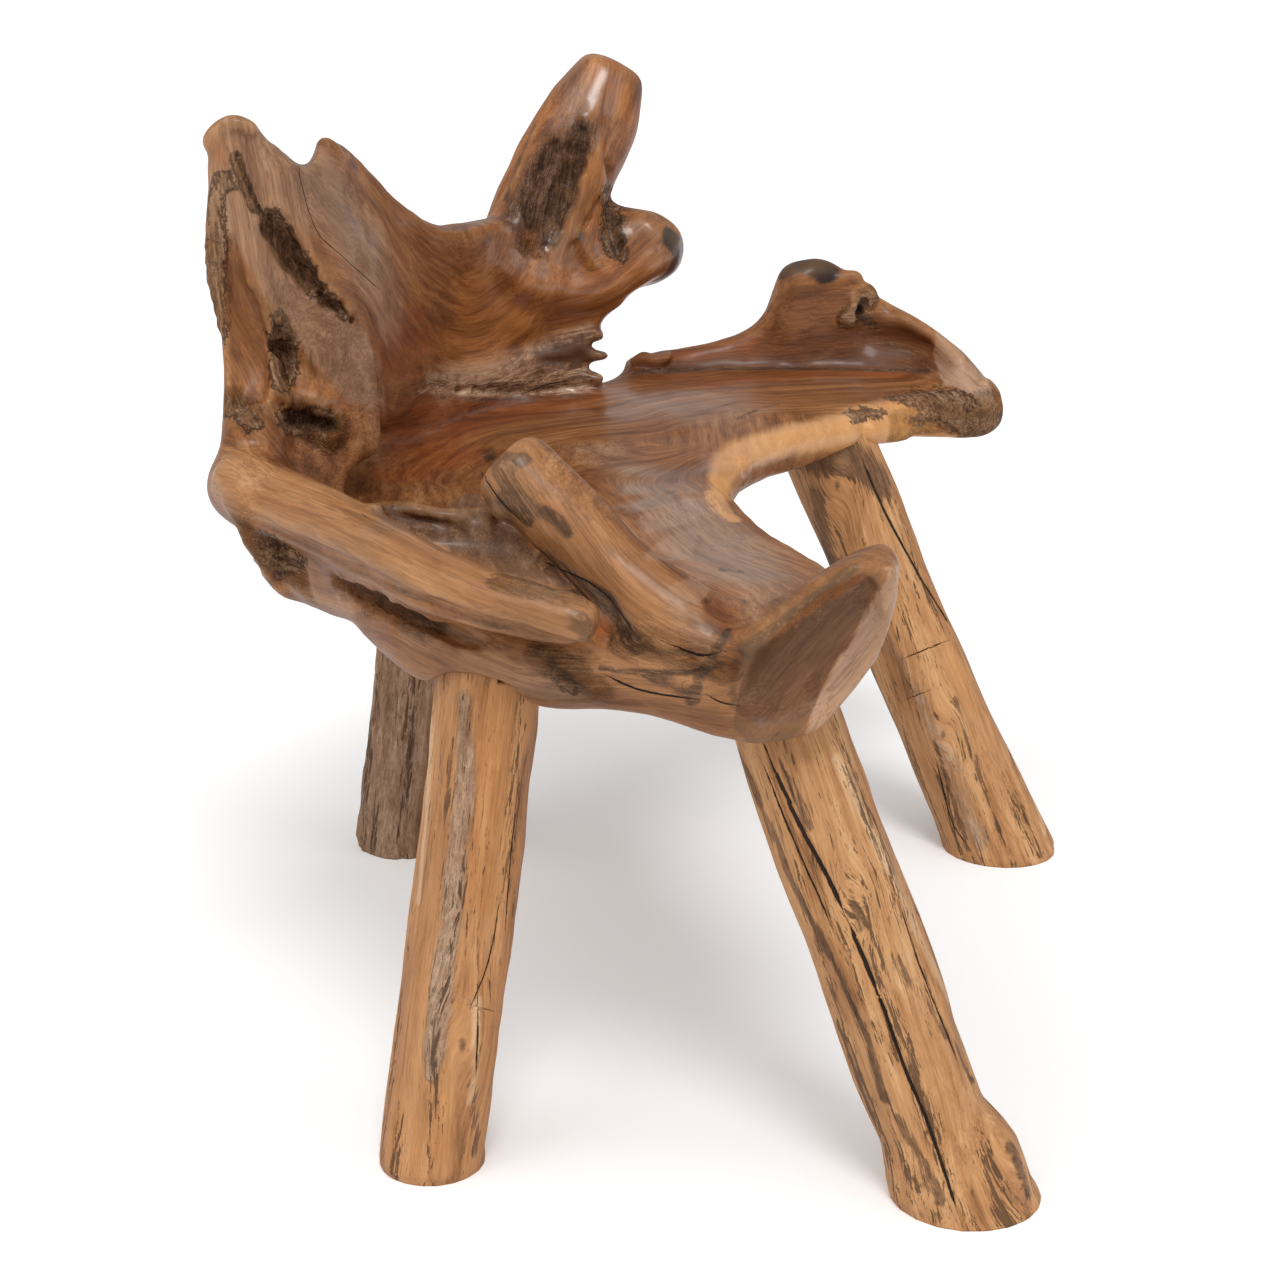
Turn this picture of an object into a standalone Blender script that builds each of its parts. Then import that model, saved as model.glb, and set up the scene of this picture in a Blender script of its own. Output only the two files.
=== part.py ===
"""A bench carved from one teak root, standing on four log legs.

The seat, the hollow back, both arms and the horn are one piece of wood. Each leg is a round log whose flat
top sits in a shallow housing under the seat and is held there by a turned dowel. X runs along the seat, Y
runs from the front to the back, and the feet stand on Z = 0.
"""
import bmesh
import bpy
from mathutils import Vector

# Main sizes, in metres
LENGTH = 1.10
DEPTH = 0.78
SEAT_HEIGHT = 0.47
BACK_HEIGHT = 0.35
SLAB_THICKNESS = 0.048
SLAB_ROUNDING = 0.018

# Thickness of the carved walls
BACK_THICKNESS = 0.044
FAR_WALL_THICKNESS = 0.040
END_WALL_THICKNESS = 0.052
WEB_THICKNESS = 0.026

# Radius of each limb where it is thickest
HORN_RADIUS = 0.058
NOSE_RADIUS = 0.046
POST_RADIUS = 0.030
BRACE_RADIUS = 0.030
ARM_RADIUS = 0.034
STUB_RADIUS = 0.034
BELLY_RADIUS = 0.040
KEEL_RADIUS = 0.045
FAR_KNOB_RADIUS = 0.034
LEDGE_RADIUS = 0.023

# Hollows of the root
DISH_LENGTH = 0.54
DISH_WIDTH = 0.30
DISH_DEPTH = 0.012
POCKET_DEPTH = 0.036
POCKET_ROUNDING = 0.012
CLEFT_RADIUS = 0.012
PIT_RADIUS = 0.019
UNDERCUT_RADIUS = 0.018
SCOOP_RADIUS = 0.034

# Legs and the joints between them and the root
LEG_NEAR_BACK_RADIUS = 0.044
LEG_NEAR_FRONT_RADIUS = 0.043
LEG_FAR_BACK_RADIUS = 0.048
LEG_FAR_FRONT_RADIUS = 0.049
HOUSING_COVER = 0.042
DOWEL_RADIUS = 0.018
DOWEL_IN_SEAT = 0.024
DOWEL_IN_LEG = 0.055
DOWEL_CHAMFER = 0.002
JOINT_CLEARANCE = 0.0003
CUT_OVERRUN = 0.030

# Fineness of the carved surface and of the round pieces
SURFACE_STEP = 0.006
SANDING_SHARE = 0.5
FUSING_PASS_COUNT = 8
FINISHING_PASS_COUNT = 2
ROOT_TRIANGLES = 8000
EDGE_ROUNDING_SHARE = 0.45
EDGE_STEPS = 3
EDGE_ANGLE = 1.0
LIMB_BEVEL_STEPS = 4
LIMB_RINGS = 6
LOG_BEVEL_STEPS = 8
LOG_RINGS = 3
DOWEL_SIDES = 24

# The seat's rim, seen from above, as shares of the length and the depth. It starts at the front of the
# near lobe, follows the hollow front edge to the far lobe and comes back round the back.
RIM_SHARES = (
    (-0.300, -0.165), (-0.250, -0.140), (-0.190, -0.105), (-0.120, -0.072), (-0.050, -0.050),
    (0.010, -0.042), (0.070, -0.052), (0.140, -0.085), (0.215, -0.160), (0.280, -0.245),
    (0.325, -0.320), (0.325, -0.390), (0.350, -0.430), (0.395, -0.395), (0.435, -0.290),
    (0.450, -0.150), (0.440, -0.010), (0.410, 0.060), (0.365, 0.120), (0.330, 0.240),
    (0.265, 0.320), (0.165, 0.370), (0.045, 0.410), (-0.050, 0.430), (-0.110, 0.420),
    (-0.160, 0.375), (-0.220, 0.325), (-0.290, 0.270), (-0.335, 0.215), (-0.355, 0.140),
    (-0.370, 0.060), (-0.395, -0.040), (-0.400, -0.110), (-0.365, -0.165),
)

# The pocket between the seat and the near arm, seen from above
POCKET_SHARES = (
    (-0.125, 0.330), (-0.108, 0.275), (-0.112, 0.210), (-0.170, 0.140), (-0.225, 0.100),
    (-0.268, 0.105), (-0.288, 0.150), (-0.280, 0.220), (-0.235, 0.280), (-0.175, 0.335),
)

# The middle of the seat's shallow dish
DISH_SHARES = (0.095, 0.165, 0)

# Rails of the carved walls. Each place is a share of the length, of the depth, and of the back's height
# above the seat or, below zero, of the slab's thickness under it.
BACK_FOOT_SHARES = (
    (-0.085, 0.440, -0.60), (-0.040, 0.430, -0.60), (0.005, 0.420, -0.60), (0.040, 0.410, -0.60),
    (0.075, 0.400, -0.60), (0.130, 0.385, -0.60), (0.195, 0.360, -0.60), (0.255, 0.325, -0.60),
    (0.305, 0.270, -0.60), (0.338, 0.200, -0.60), (0.355, 0.115, -0.60),
)
BACK_WAIST_SHARES = (
    (-0.085, 0.465, 0.25), (-0.040, 0.445, 0.25), (0.000, 0.435, 0.23), (0.036, 0.420, 0.22),
    (0.070, 0.405, 0.20), (0.125, 0.385, 0.19), (0.190, 0.352, 0.18), (0.250, 0.315, 0.18),
    (0.305, 0.260, 0.18), (0.338, 0.190, 0.17), (0.360, 0.110, 0.15),
)
BACK_SHOULDER_SHARES = (
    (-0.085, 0.488, 0.60), (-0.045, 0.460, 0.58), (0.000, 0.440, 0.54), (0.036, 0.425, 0.55),
    (0.070, 0.405, 0.52), (0.125, 0.375, 0.46), (0.190, 0.335, 0.41), (0.250, 0.300, 0.38),
    (0.302, 0.245, 0.37), (0.335, 0.160, 0.34), (0.352, 0.040, 0.32),
)
BACK_TOP_SHARES = (
    (-0.104, 0.475, 0.90), (-0.068, 0.448, 0.86), (-0.008, 0.424, 0.76), (0.036, 0.406, 0.90),
    (0.066, 0.384, 0.83), (0.127, 0.345, 0.68), (0.190, 0.310, 0.58), (0.250, 0.278, 0.53),
    (0.300, 0.245, 0.54), (0.335, 0.180, 0.55), (0.352, 0.060, 0.48),
)
FAR_WALL_FOOT_SHARES = (
    (0.400, 0.065, -0.60), (0.420, 0.030, -0.60), (0.432, -0.010, -0.60), (0.440, -0.080, -0.60),
    (0.446, -0.135, -0.60), (0.448, -0.165, -0.60), (0.448, -0.200, -0.60), (0.444, -0.245, -0.60),
    (0.438, -0.285, -0.60), (0.425, -0.330, -0.60), (0.402, -0.370, -0.60), (0.368, -0.395, -0.60),
    (0.335, -0.405, -0.60),
)
FAR_WALL_TOP_SHARES = (
    (0.410, 0.075, 0.020), (0.428, 0.035, 0.065), (0.440, -0.010, 0.075), (0.450, -0.090, 0.085),
    (0.455, -0.140, 0.160), (0.457, -0.165, 0.310), (0.458, -0.195, 0.365), (0.458, -0.250, 0.310),
    (0.455, -0.290, 0.215), (0.445, -0.330, 0.185), (0.420, -0.375, 0.130), (0.375, -0.420, 0.060),
    (0.335, -0.430, -0.10),
)
END_WALL_FOOT_SHARES = (
    (-0.375, 0.070, -1.00), (-0.388, 0.010, -1.20), (-0.404, -0.040, -1.60), (-0.416, -0.085, -1.65),
    (-0.426, -0.130, -1.25), (-0.438, -0.168, -0.40), (-0.450, -0.190, 0.10),
)
END_WALL_TOP_SHARES = (
    (-0.400, 0.070, 0.010), (-0.412, 0.010, 0.020), (-0.420, -0.045, 0.030), (-0.430, -0.095, 0.115),
    (-0.440, -0.135, 0.200), (-0.455, -0.168, 0.240), (-0.462, -0.192, 0.240),
)
WEB_POST_SHARES = (
    (-0.150, 0.450, 0.00), (-0.140, 0.450, 0.25), (-0.118, 0.455, 0.55), (-0.108, 0.465, 0.85),
)
WEB_BRACE_SHARES = (
    (-0.060, 0.370, 0.00), (-0.055, 0.375, 0.25), (-0.070, 0.410, 0.55), (-0.100, 0.455, 0.85),
)

# Limbs of the root: each station's place, as above, and its radius as a share of the limb's own
HORN_SHARES = (
    (0.320, 0.225, 0.20, 0.60), (0.337, 0.190, 0.45, 0.90), (0.357, 0.147, 0.65, 0.97),
    (0.376, 0.105, 0.82, 0.92), (0.388, 0.076, 0.96, 0.62),
)
NOSE_SHARES = (
    (0.345, 0.150, 0.38, 0.70), (0.362, 0.085, 0.42, 1.00), (0.360, 0.025, 0.415, 0.90),
    (0.352, -0.012, 0.415, 0.50),
)
POST_SHARES = (
    (-0.160, 0.460, 0.05, 1.05), (-0.148, 0.458, 0.25, 0.95), (-0.122, 0.464, 0.50, 0.85),
    (-0.108, 0.476, 0.75, 0.75), (-0.106, 0.474, 0.90, 0.80), (-0.106, 0.470, 0.96, 0.40),
)
BRACE_SHARES = (
    (-0.105, 0.466, 0.94, 0.70), (-0.090, 0.442, 0.75, 0.85), (-0.065, 0.405, 0.55, 0.95),
    (-0.050, 0.380, 0.35, 1.00), (-0.055, 0.370, 0.10, 1.00),
)
ARM_SHARES = (
    (-0.120, 0.480, 0.100, 0.85), (-0.162, 0.468, 0.115, 1.00), (-0.200, 0.430, 0.120, 0.95),
    (-0.250, 0.370, 0.115, 0.88), (-0.320, 0.303, 0.110, 0.84), (-0.385, 0.235, 0.095, 0.80),
    (-0.420, 0.165, 0.078, 0.72), (-0.440, 0.082, 0.055, 0.62),
)
STUB_SHARES = (
    (-0.400, -0.035, -0.30, 1.00), (-0.400, 0.005, 0.02, 1.00), (-0.385, 0.063, 0.11, 0.92),
    (-0.368, 0.118, 0.225, 0.98), (-0.350, 0.176, 0.340, 1.06),
)
BELLY_SHARES = (
    (-0.155, 0.447, 0.00, 0.70), (-0.158, 0.415, -0.35, 0.85), (-0.185, 0.380, -0.45, 0.90),
    (-0.268, 0.312, -0.25, 0.85), (-0.314, 0.269, -0.44, 0.95), (-0.347, 0.235, -0.50, 1.00),
    (-0.358, 0.180, -0.62, 1.00), (-0.368, 0.124, -0.69, 1.00), (-0.380, 0.073, -0.60, 1.00),
    (-0.393, 0.019, -0.60, 1.00), (-0.405, -0.040, -0.75, 1.00),
)
KEEL_SHARES = (
    (-0.120, 0.400, -0.80, 0.70), (-0.050, 0.340, -0.80, 0.80), (0.070, 0.330, -0.90, 1.00),
    (0.180, 0.300, -0.95, 1.10), (0.280, 0.210, -0.60, 0.70),
)
FAR_KNOB_SHARES = ((0.450, -0.150, -0.10, 0.80), (0.455, -0.175, 0.18, 0.95), (0.457, -0.190, 0.31, 0.85))
LEDGE_SHARES = (
    (0.060, 0.380, 0.00, 0.60), (0.170, 0.345, 0.02, 1.00), (0.260, 0.285, 0.05, 1.00),
    (0.320, 0.190, 0.08, 0.90), (0.348, 0.115, 0.06, 0.60),
)

# Hollows of the root that are limbs taken away, written as the limbs are
CLEFT_SHARES = (
    (-0.080, 0.455, 0.76, 0.50), (-0.070, 0.425, 0.62, 1.00), (-0.050, 0.400, 0.52, 1.00),
    (-0.030, 0.385, 0.42, 0.50),
)
PIT_SHARES = ((-0.113, 0.423, 0.42, 0.70), (-0.119, 0.405, 0.30, 1.00), (-0.123, 0.399, 0.16, 1.15))
UNDERCUT_SHARES = ((-0.200, 0.470, -0.10, 0.80), (-0.180, 0.445, -0.20, 1.00), (-0.165, 0.415, -0.20, 0.70))
SCOOP_SHARES = (
    (-0.482, -0.175, 0.19, 0.35), (-0.482, -0.140, 0.07, 0.85), (-0.478, -0.110, -0.30, 1.00),
    (-0.462, -0.075, -0.95, 0.60),
)

# Each leg's foot and top are shares of the length and the depth. Each station of its log is a share of the
# way up, the girth there as a share of the radius, and the heart's step towards the back as another.
LEGS = {
    "near_back": {
        "radius": LEG_NEAR_BACK_RADIUS,
        "foot_shares": (-0.356, 0.262),
        "top_shares": (-0.347, 0.190),
        "log_shares": (
            (0.0, 1.00, 0.0), (0.08, 0.99, 0.0), (0.5, 0.98, -0.04), (0.85, 0.95, 0.0), (1.0, 0.95, 0.0),
        ),
    },
    "near_front": {
        "radius": LEG_NEAR_FRONT_RADIUS,
        "foot_shares": (-0.402, -0.281),
        "top_shares": (-0.383, -0.082),
        "log_shares": (
            (0.0, 1.38, -0.10), (0.06, 1.34, -0.12), (0.15, 1.06, -0.02), (0.5, 1.10, 0.0),
            (0.85, 1.02, 0.0), (1.0, 1.00, 0.0),
        ),
    },
    "far_back": {
        "radius": LEG_FAR_BACK_RADIUS,
        "foot_shares": (0.237, 0.372),
        "top_shares": (0.191, 0.301),
        "log_shares": (
            (0.0, 1.00, 0.0), (0.1, 0.98, 0.0), (0.5, 0.96, 0.0), (0.85, 1.00, 0.0), (1.0, 1.00, 0.0),
        ),
    },
    "far_front": {
        "radius": LEG_FAR_FRONT_RADIUS,
        "foot_shares": (0.225, -0.447),
        "top_shares": (0.285, -0.203),
        "log_shares": (
            (0.0, 1.14, 0.0), (0.08, 1.10, 0.0), (0.3, 1.00, 0.0), (0.7, 0.97, 0.0), (0.85, 1.00, 0.0),
            (1.0, 1.00, 0.0),
        ),
    },
}

# Colour and roughness of each wood
WOODS = {
    "root_teak": ((0.21, 0.095, 0.045), 0.35),
    "leg_teak": ((0.42, 0.27, 0.13), 0.50),
    "dowel_teak": ((0.50, 0.36, 0.20), 0.60),
}


def clear_scene():
    """Remove every object that the scene holds."""
    for leftover in list(bpy.data.objects):
        bpy.data.objects.remove(leftover, do_unlink=True)


def new_collection(name):
    """A collection linked to the scene."""
    collection = bpy.data.collections.new(name)
    bpy.context.scene.collection.children.link(collection)
    return collection


def wood(name):
    """The plain Principled material of one wood."""
    colour, roughness = WOODS[name]
    material = bpy.data.materials.new(name)
    material.use_nodes = True
    shader = material.node_tree.nodes["Principled BSDF"]
    shader.inputs["Base Color"].default_value = (*colour, 1)
    shader.inputs["Roughness"].default_value = roughness
    shader.inputs["Metallic"].default_value = 0
    return material


def place(x_share, y_share, rise_share):
    """The point at these shares: above zero it climbs the back, below zero it goes down the slab."""
    span = BACK_HEIGHT if rise_share > 0 else SLAB_THICKNESS
    return Vector((x_share * LENGTH, y_share * DEPTH, SEAT_HEIGHT + rise_share * span))


def add_object(name, data, collection):
    """A new object in a collection."""
    added = bpy.data.objects.new(name, data)
    collection.objects.link(added)
    return added


def adopt(made, name, collection):
    """Name a new primitive and move it to a collection."""
    made.name = name
    for old in list(made.users_collection):
        old.objects.unlink(made)
    collection.objects.link(made)
    return made


def hide_cutter(tool):
    """Mark a body that is only cut away."""
    tool.hide_render = True
    tool.display_type = "WIRE"
    return tool


def as_mesh(source):
    """The evaluated mesh of an object in world space, its seams welded; the object itself goes."""
    bpy.context.view_layer.update()
    evaluated = source.evaluated_get(bpy.context.evaluated_depsgraph_get())
    mesh = bpy.data.meshes.new_from_object(evaluated)
    mesh.transform(source.matrix_world)
    worked = bmesh.new()
    worked.from_mesh(mesh)
    bmesh.ops.remove_doubles(worked, verts=worked.verts, dist=JOINT_CLEARANCE / 10)
    bmesh.ops.recalc_face_normals(worked, faces=worked.faces)
    worked.to_mesh(mesh)
    worked.free()
    bpy.data.objects.remove(source, do_unlink=True)
    return mesh


def smooth_spline(curve, places):
    """A smooth spline through places, with its handles set by itself."""
    spline = curve.splines.new("BEZIER")
    spline.bezier_points.add(len(places) - 1)
    for point, where in zip(spline.bezier_points, places):
        point.co = where
        point.handle_left_type = "AUTO"
        point.handle_right_type = "AUTO"
    return spline


def round_bar(name, stations, radius, bevel_steps, rings, collection):
    """A round bar along (place, girth share) stations, with flat ends."""
    curve = bpy.data.curves.new(name, "CURVE")
    curve.dimensions = "3D"
    curve.bevel_depth = radius
    curve.bevel_resolution = bevel_steps
    curve.resolution_u = rings
    curve.use_fill_caps = True
    spline = smooth_spline(curve, [where for where, _ in stations])
    for point, (_, girth) in zip(spline.bezier_points, stations):
        point.radius = girth
    return as_mesh(add_object(name, curve, collection))


def limb(name, shares, radius, collection):
    """A smooth limb of the root, thick and thin by its radius shares."""
    stations = [(place(*share[:3]), share[3]) for share in shares]
    return round_bar(name, stations, radius, LIMB_BEVEL_STEPS, LIMB_RINGS, collection)


def wall(name, rails, thickness, collection):
    """A carved wall: an open surface lofted through its rails, then thickened to both sides."""
    worked = bmesh.new()
    rows = [[worked.verts.new(place(*share)) for share in rail] for rail in rails]
    for lower, upper in zip(rows, rows[1:]):
        for column in range(len(lower) - 1):
            worked.faces.new((lower[column], lower[column + 1], upper[column + 1], upper[column]))
    mesh = bpy.data.meshes.new(name)
    worked.to_mesh(mesh)
    worked.free()
    sheet = add_object(name, mesh, collection)
    soften = sheet.modifiers.new("Soften", "SUBSURF")
    soften.levels = 2
    soften.render_levels = 2
    thicken = sheet.modifiers.new("Thicken", "SOLIDIFY")
    thicken.thickness = thickness
    thicken.offset = 0
    rounding = sheet.modifiers.new("Rounding", "BEVEL")
    rounding.width = thickness * EDGE_ROUNDING_SHARE
    rounding.segments = EDGE_STEPS
    rounding.angle_limit = EDGE_ANGLE
    return as_mesh(sheet)


def plate(name, shares, bottom, top, rounding, collection):
    """A flat outline between two heights, with round edges that bulge past the outline."""
    curve = bpy.data.curves.new(name, "CURVE")
    curve.dimensions = "2D"
    curve.fill_mode = "BOTH"
    curve.extrude = (top - bottom) / 2 - rounding
    curve.bevel_depth = rounding
    curve.bevel_resolution = LIMB_BEVEL_STEPS
    curve.resolution_u = LIMB_RINGS
    spline = smooth_spline(curve, [(x_share * LENGTH, y_share * DEPTH, 0) for x_share, y_share in shares])
    spline.use_cyclic_u = True
    flat = add_object(name, curve, collection)
    flat.location.z = (bottom + top) / 2
    return as_mesh(flat)


def seat_dish(collection):
    """The seat's shallow dish: a flat ellipsoid whose middle is level with the seat."""
    bpy.ops.mesh.primitive_uv_sphere_add(segments=48, ring_count=24, radius=1)
    bowl = adopt(bpy.context.object, "seat_dish", collection)
    bowl.scale = (DISH_LENGTH / 2, DISH_WIDTH / 2, DISH_DEPTH)
    bowl.location = place(*DISH_SHARES)
    return as_mesh(bowl)


def join(name, meshes, collection):
    """One object that holds several overlapping bodies."""
    worked = bmesh.new()
    for mesh in meshes:
        worked.from_mesh(mesh)
        bpy.data.meshes.remove(mesh)
    joined = bpy.data.meshes.new(name)
    worked.to_mesh(joined)
    worked.free()
    return add_object(name, joined, collection)


def fuse(body, passes):
    """Fuse overlapping bodies into one skin and sand it smooth."""
    skin = body.modifiers.new("Skin", "REMESH")
    skin.mode = "VOXEL"
    skin.voxel_size = SURFACE_STEP
    sand = body.modifiers.new("Sand", "SMOOTH")
    sand.factor = SANDING_SHARE
    sand.iterations = passes


def cut(body, tool):
    """Take a cutter's volume out of a body."""
    boolean = body.modifiers.new(tool.name, "BOOLEAN")
    boolean.operation = "DIFFERENCE"
    boolean.object = tool


def root_bodies(parts):
    """The overlapping bodies that the root is fused from."""
    back_rails = (BACK_FOOT_SHARES, BACK_WAIST_SHARES, BACK_SHOULDER_SHARES, BACK_TOP_SHARES)
    return [
        plate("slab", RIM_SHARES, SEAT_HEIGHT - SLAB_THICKNESS, SEAT_HEIGHT, SLAB_ROUNDING, parts),
        wall("back", back_rails, BACK_THICKNESS, parts),
        wall("far_wall", (FAR_WALL_FOOT_SHARES, FAR_WALL_TOP_SHARES), FAR_WALL_THICKNESS, parts),
        wall("end_wall", (END_WALL_FOOT_SHARES, END_WALL_TOP_SHARES), END_WALL_THICKNESS, parts),
        wall("web", (WEB_POST_SHARES, WEB_BRACE_SHARES), WEB_THICKNESS, parts),
        limb("horn", HORN_SHARES, HORN_RADIUS, parts),
        limb("nose", NOSE_SHARES, NOSE_RADIUS, parts),
        limb("post", POST_SHARES, POST_RADIUS, parts),
        limb("brace", BRACE_SHARES, BRACE_RADIUS, parts),
        limb("arm", ARM_SHARES, ARM_RADIUS, parts),
        limb("stub", STUB_SHARES, STUB_RADIUS, parts),
        limb("belly", BELLY_SHARES, BELLY_RADIUS, parts),
        limb("keel", KEEL_SHARES, KEEL_RADIUS, parts),
        limb("far_knob", FAR_KNOB_SHARES, FAR_KNOB_RADIUS, parts),
        limb("ledge", LEDGE_SHARES, LEDGE_RADIUS, parts),
    ]


def root_hollows(cutters):
    """The bodies that are carved out of the root."""
    pocket_floor = SEAT_HEIGHT - POCKET_DEPTH
    pocket_mouth = SEAT_HEIGHT + POCKET_ROUNDING * 2
    return [
        plate("pocket", POCKET_SHARES, pocket_floor, pocket_mouth, POCKET_ROUNDING, cutters),
        seat_dish(cutters),
        limb("cleft", CLEFT_SHARES, CLEFT_RADIUS, cutters),
        limb("pit", PIT_SHARES, PIT_RADIUS, cutters),
        limb("undercut", UNDERCUT_SHARES, UNDERCUT_RADIUS, cutters),
        limb("scoop", SCOOP_SHARES, SCOOP_RADIUS, cutters),
    ]


def carve_root(parts, cutters):
    """The seat, the back, the arms and the horn as one carved body with few enough faces."""
    rough = join("rough", root_bodies(parts), parts)
    fuse(rough, FUSING_PASS_COUNT)
    for mesh in root_hollows(cutters):
        cut(rough, hide_cutter(add_object(mesh.name, mesh, cutters)))
    carved = add_object("carved", as_mesh(rough), parts)
    fuse(carved, FINISHING_PASS_COUNT)
    fine = add_object("fine", as_mesh(carved), parts)
    thin = fine.modifiers.new("Thin", "DECIMATE")
    thin.ratio = ROOT_TRIANGLES / sum(len(face.vertices) - 2 for face in fine.data.polygons)
    root = add_object("seat_root", as_mesh(fine), parts)
    root.data.materials.append(wood("root_teak"))
    return root


def leg_line(leg):
    """The foot's centre on the floor, the top's centre, and the direction from one to the other."""
    foot_x, foot_y = leg["foot_shares"]
    top_x, top_y = leg["top_shares"]
    foot = Vector((foot_x * LENGTH, foot_y * DEPTH, 0))
    top = Vector((top_x * LENGTH, top_y * DEPTH, SEAT_HEIGHT - HOUSING_COVER))
    return foot, top, (top - foot).normalized()


def log(name, leg, swell, collection):
    """A leg's log, from under the floor to its flat top, swollen all round by a clearance."""
    foot, top, along = leg_line(leg)
    radius = leg["radius"]
    back = Vector((0, radius, 0))
    stations = [(foot.lerp(top, rise) + back * step, girth + swell / radius)
                for rise, girth, step in leg["log_shares"]]
    foot_place, foot_girth = stations[0]
    stations.insert(0, (foot_place - along * (CUT_OVERRUN + radius), foot_girth))
    stations[-1] = (top + along * swell, stations[-1][1])
    return round_bar(name, stations, radius, LOG_BEVEL_STEPS, LOG_RINGS, collection)


def floor_block(cutters):
    """A block under the floor that trims the feet flat."""
    bpy.ops.mesh.primitive_cube_add(size=1)
    block = hide_cutter(adopt(bpy.context.object, "floor_block", cutters))
    depth = CUT_OVERRUN * 2 + max(leg["radius"] for leg in LEGS.values()) * 3
    block.scale = (LENGTH * 2, DEPTH * 2, depth)
    block.location.z = -depth / 2
    return block


def pin(name, leg, swell, collection):
    """The round pin between a leg and the root, or its hole where it swells by a clearance."""
    _, top, along = leg_line(leg)
    start = top - along * (DOWEL_IN_LEG + swell)
    end = top + along * (DOWEL_IN_SEAT + swell)
    bpy.ops.mesh.primitive_cylinder_add(vertices=DOWEL_SIDES, radius=DOWEL_RADIUS + swell,
                                        depth=(end - start).length)
    made = adopt(bpy.context.object, name, collection)
    made.rotation_euler = along.to_track_quat("Z", "Y").to_euler()
    made.location = (start + end) / 2
    return made


def fit_leg(name, leg, root, floor, parts, cutters):
    """One leg with its dowel, and the housing and the hole that they fill."""
    made = add_object("leg_" + name, log("leg_" + name, leg, 0, parts), parts)
    made.data.shade_smooth()
    made.data.materials.append(wood("leg_teak"))
    dowel = pin("dowel_" + name, leg, 0, parts)
    dowel.data.materials.append(wood("dowel_teak"))
    chamfer = dowel.modifiers.new("Chamfer", "BEVEL")
    chamfer.width = DOWEL_CHAMFER
    chamfer.segments = 1
    housing_mesh = log("housing_" + name, leg, JOINT_CLEARANCE, cutters)
    housing = hide_cutter(add_object("housing_" + name, housing_mesh, cutters))
    hole = hide_cutter(pin("hole_" + name, leg, JOINT_CLEARANCE, cutters))
    cut(root, housing)
    cut(root, hole)
    cut(made, floor)
    cut(made, hole)


def stand_on_origin(parts, cutters):
    """Move the bench until the origin lies on the floor under the middle of its box."""
    bpy.context.view_layer.update()
    graph = bpy.context.evaluated_depsgraph_get()
    corners = []
    for made in parts.objects:
        shown = made.evaluated_get(graph)
        corners += [shown.matrix_world @ Vector(corner) for corner in shown.bound_box]
    stand = add_object("bench_stand", None, bpy.context.scene.collection)
    for axis in range(2):
        reach = [corner[axis] for corner in corners]
        stand.location[axis] = -(min(reach) + max(reach)) / 2
    for made in list(parts.objects) + list(cutters.objects):
        made.parent = stand


def main():
    """Carve the root, fit the legs and stand the bench on the origin."""
    clear_scene()
    parts = new_collection("teak_bench")
    cutters = new_collection("cutters")
    root = carve_root(parts, cutters)
    floor = floor_block(cutters)
    for name, leg in LEGS.items():
        fit_leg(name, leg, root, floor, parts, cutters)
    stand_on_origin(parts, cutters)


main()
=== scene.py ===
"""How the teak root bench looks: the carved skin of its root, its log legs, their finishes and the studio.

Lengths are in metres, unless a comment says millimetres. Marks on the wood are given as they lie in the
photograph, in its pixels: a mark lies where the camera's ray through that pixel meets the bench.
"""
from types import SimpleNamespace

import bpy
import numpy as np
import openvdb
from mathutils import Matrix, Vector
from mathutils.bvhtree import BVHTree


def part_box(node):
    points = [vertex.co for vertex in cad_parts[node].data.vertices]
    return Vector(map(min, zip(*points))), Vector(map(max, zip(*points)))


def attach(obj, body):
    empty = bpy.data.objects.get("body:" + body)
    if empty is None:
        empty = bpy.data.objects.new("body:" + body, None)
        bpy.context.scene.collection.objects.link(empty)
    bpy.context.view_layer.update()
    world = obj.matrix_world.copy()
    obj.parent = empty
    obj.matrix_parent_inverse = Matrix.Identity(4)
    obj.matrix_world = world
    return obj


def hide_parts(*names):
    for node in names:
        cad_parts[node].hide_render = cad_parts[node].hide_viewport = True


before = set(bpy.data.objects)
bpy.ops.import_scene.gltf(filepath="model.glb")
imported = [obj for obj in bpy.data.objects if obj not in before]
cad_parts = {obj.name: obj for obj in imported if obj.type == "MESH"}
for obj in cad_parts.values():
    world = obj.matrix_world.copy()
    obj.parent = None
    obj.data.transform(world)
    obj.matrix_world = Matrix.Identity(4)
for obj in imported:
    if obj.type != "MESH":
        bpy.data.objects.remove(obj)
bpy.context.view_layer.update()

# The camera of the photograph
PHOTO_WIDTH = 1279
PHOTO_HEIGHT = 1280
CAMERA_PLACE = np.array([-2.124, 0.0399, 1.026])
CAMERA_TILT = np.radians(18.5)
CAMERA_LENS = 67.5
CAMERA_SENSOR = 36

# What divides a length in millimetres to give it in metres
MILLI = 1000

# Values along each side of the cube of random ones that noise is made from
LATTICE_SIZE = 32


# ---- Noise and curves

def smooth_step(low, high, value):
    """0 below low, 1 above high, and 3t^2 - 2t^3 between them."""
    share = np.clip((value - low) / (high - low), 0, 1)
    return share * share * (3 - 2 * share)


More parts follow.
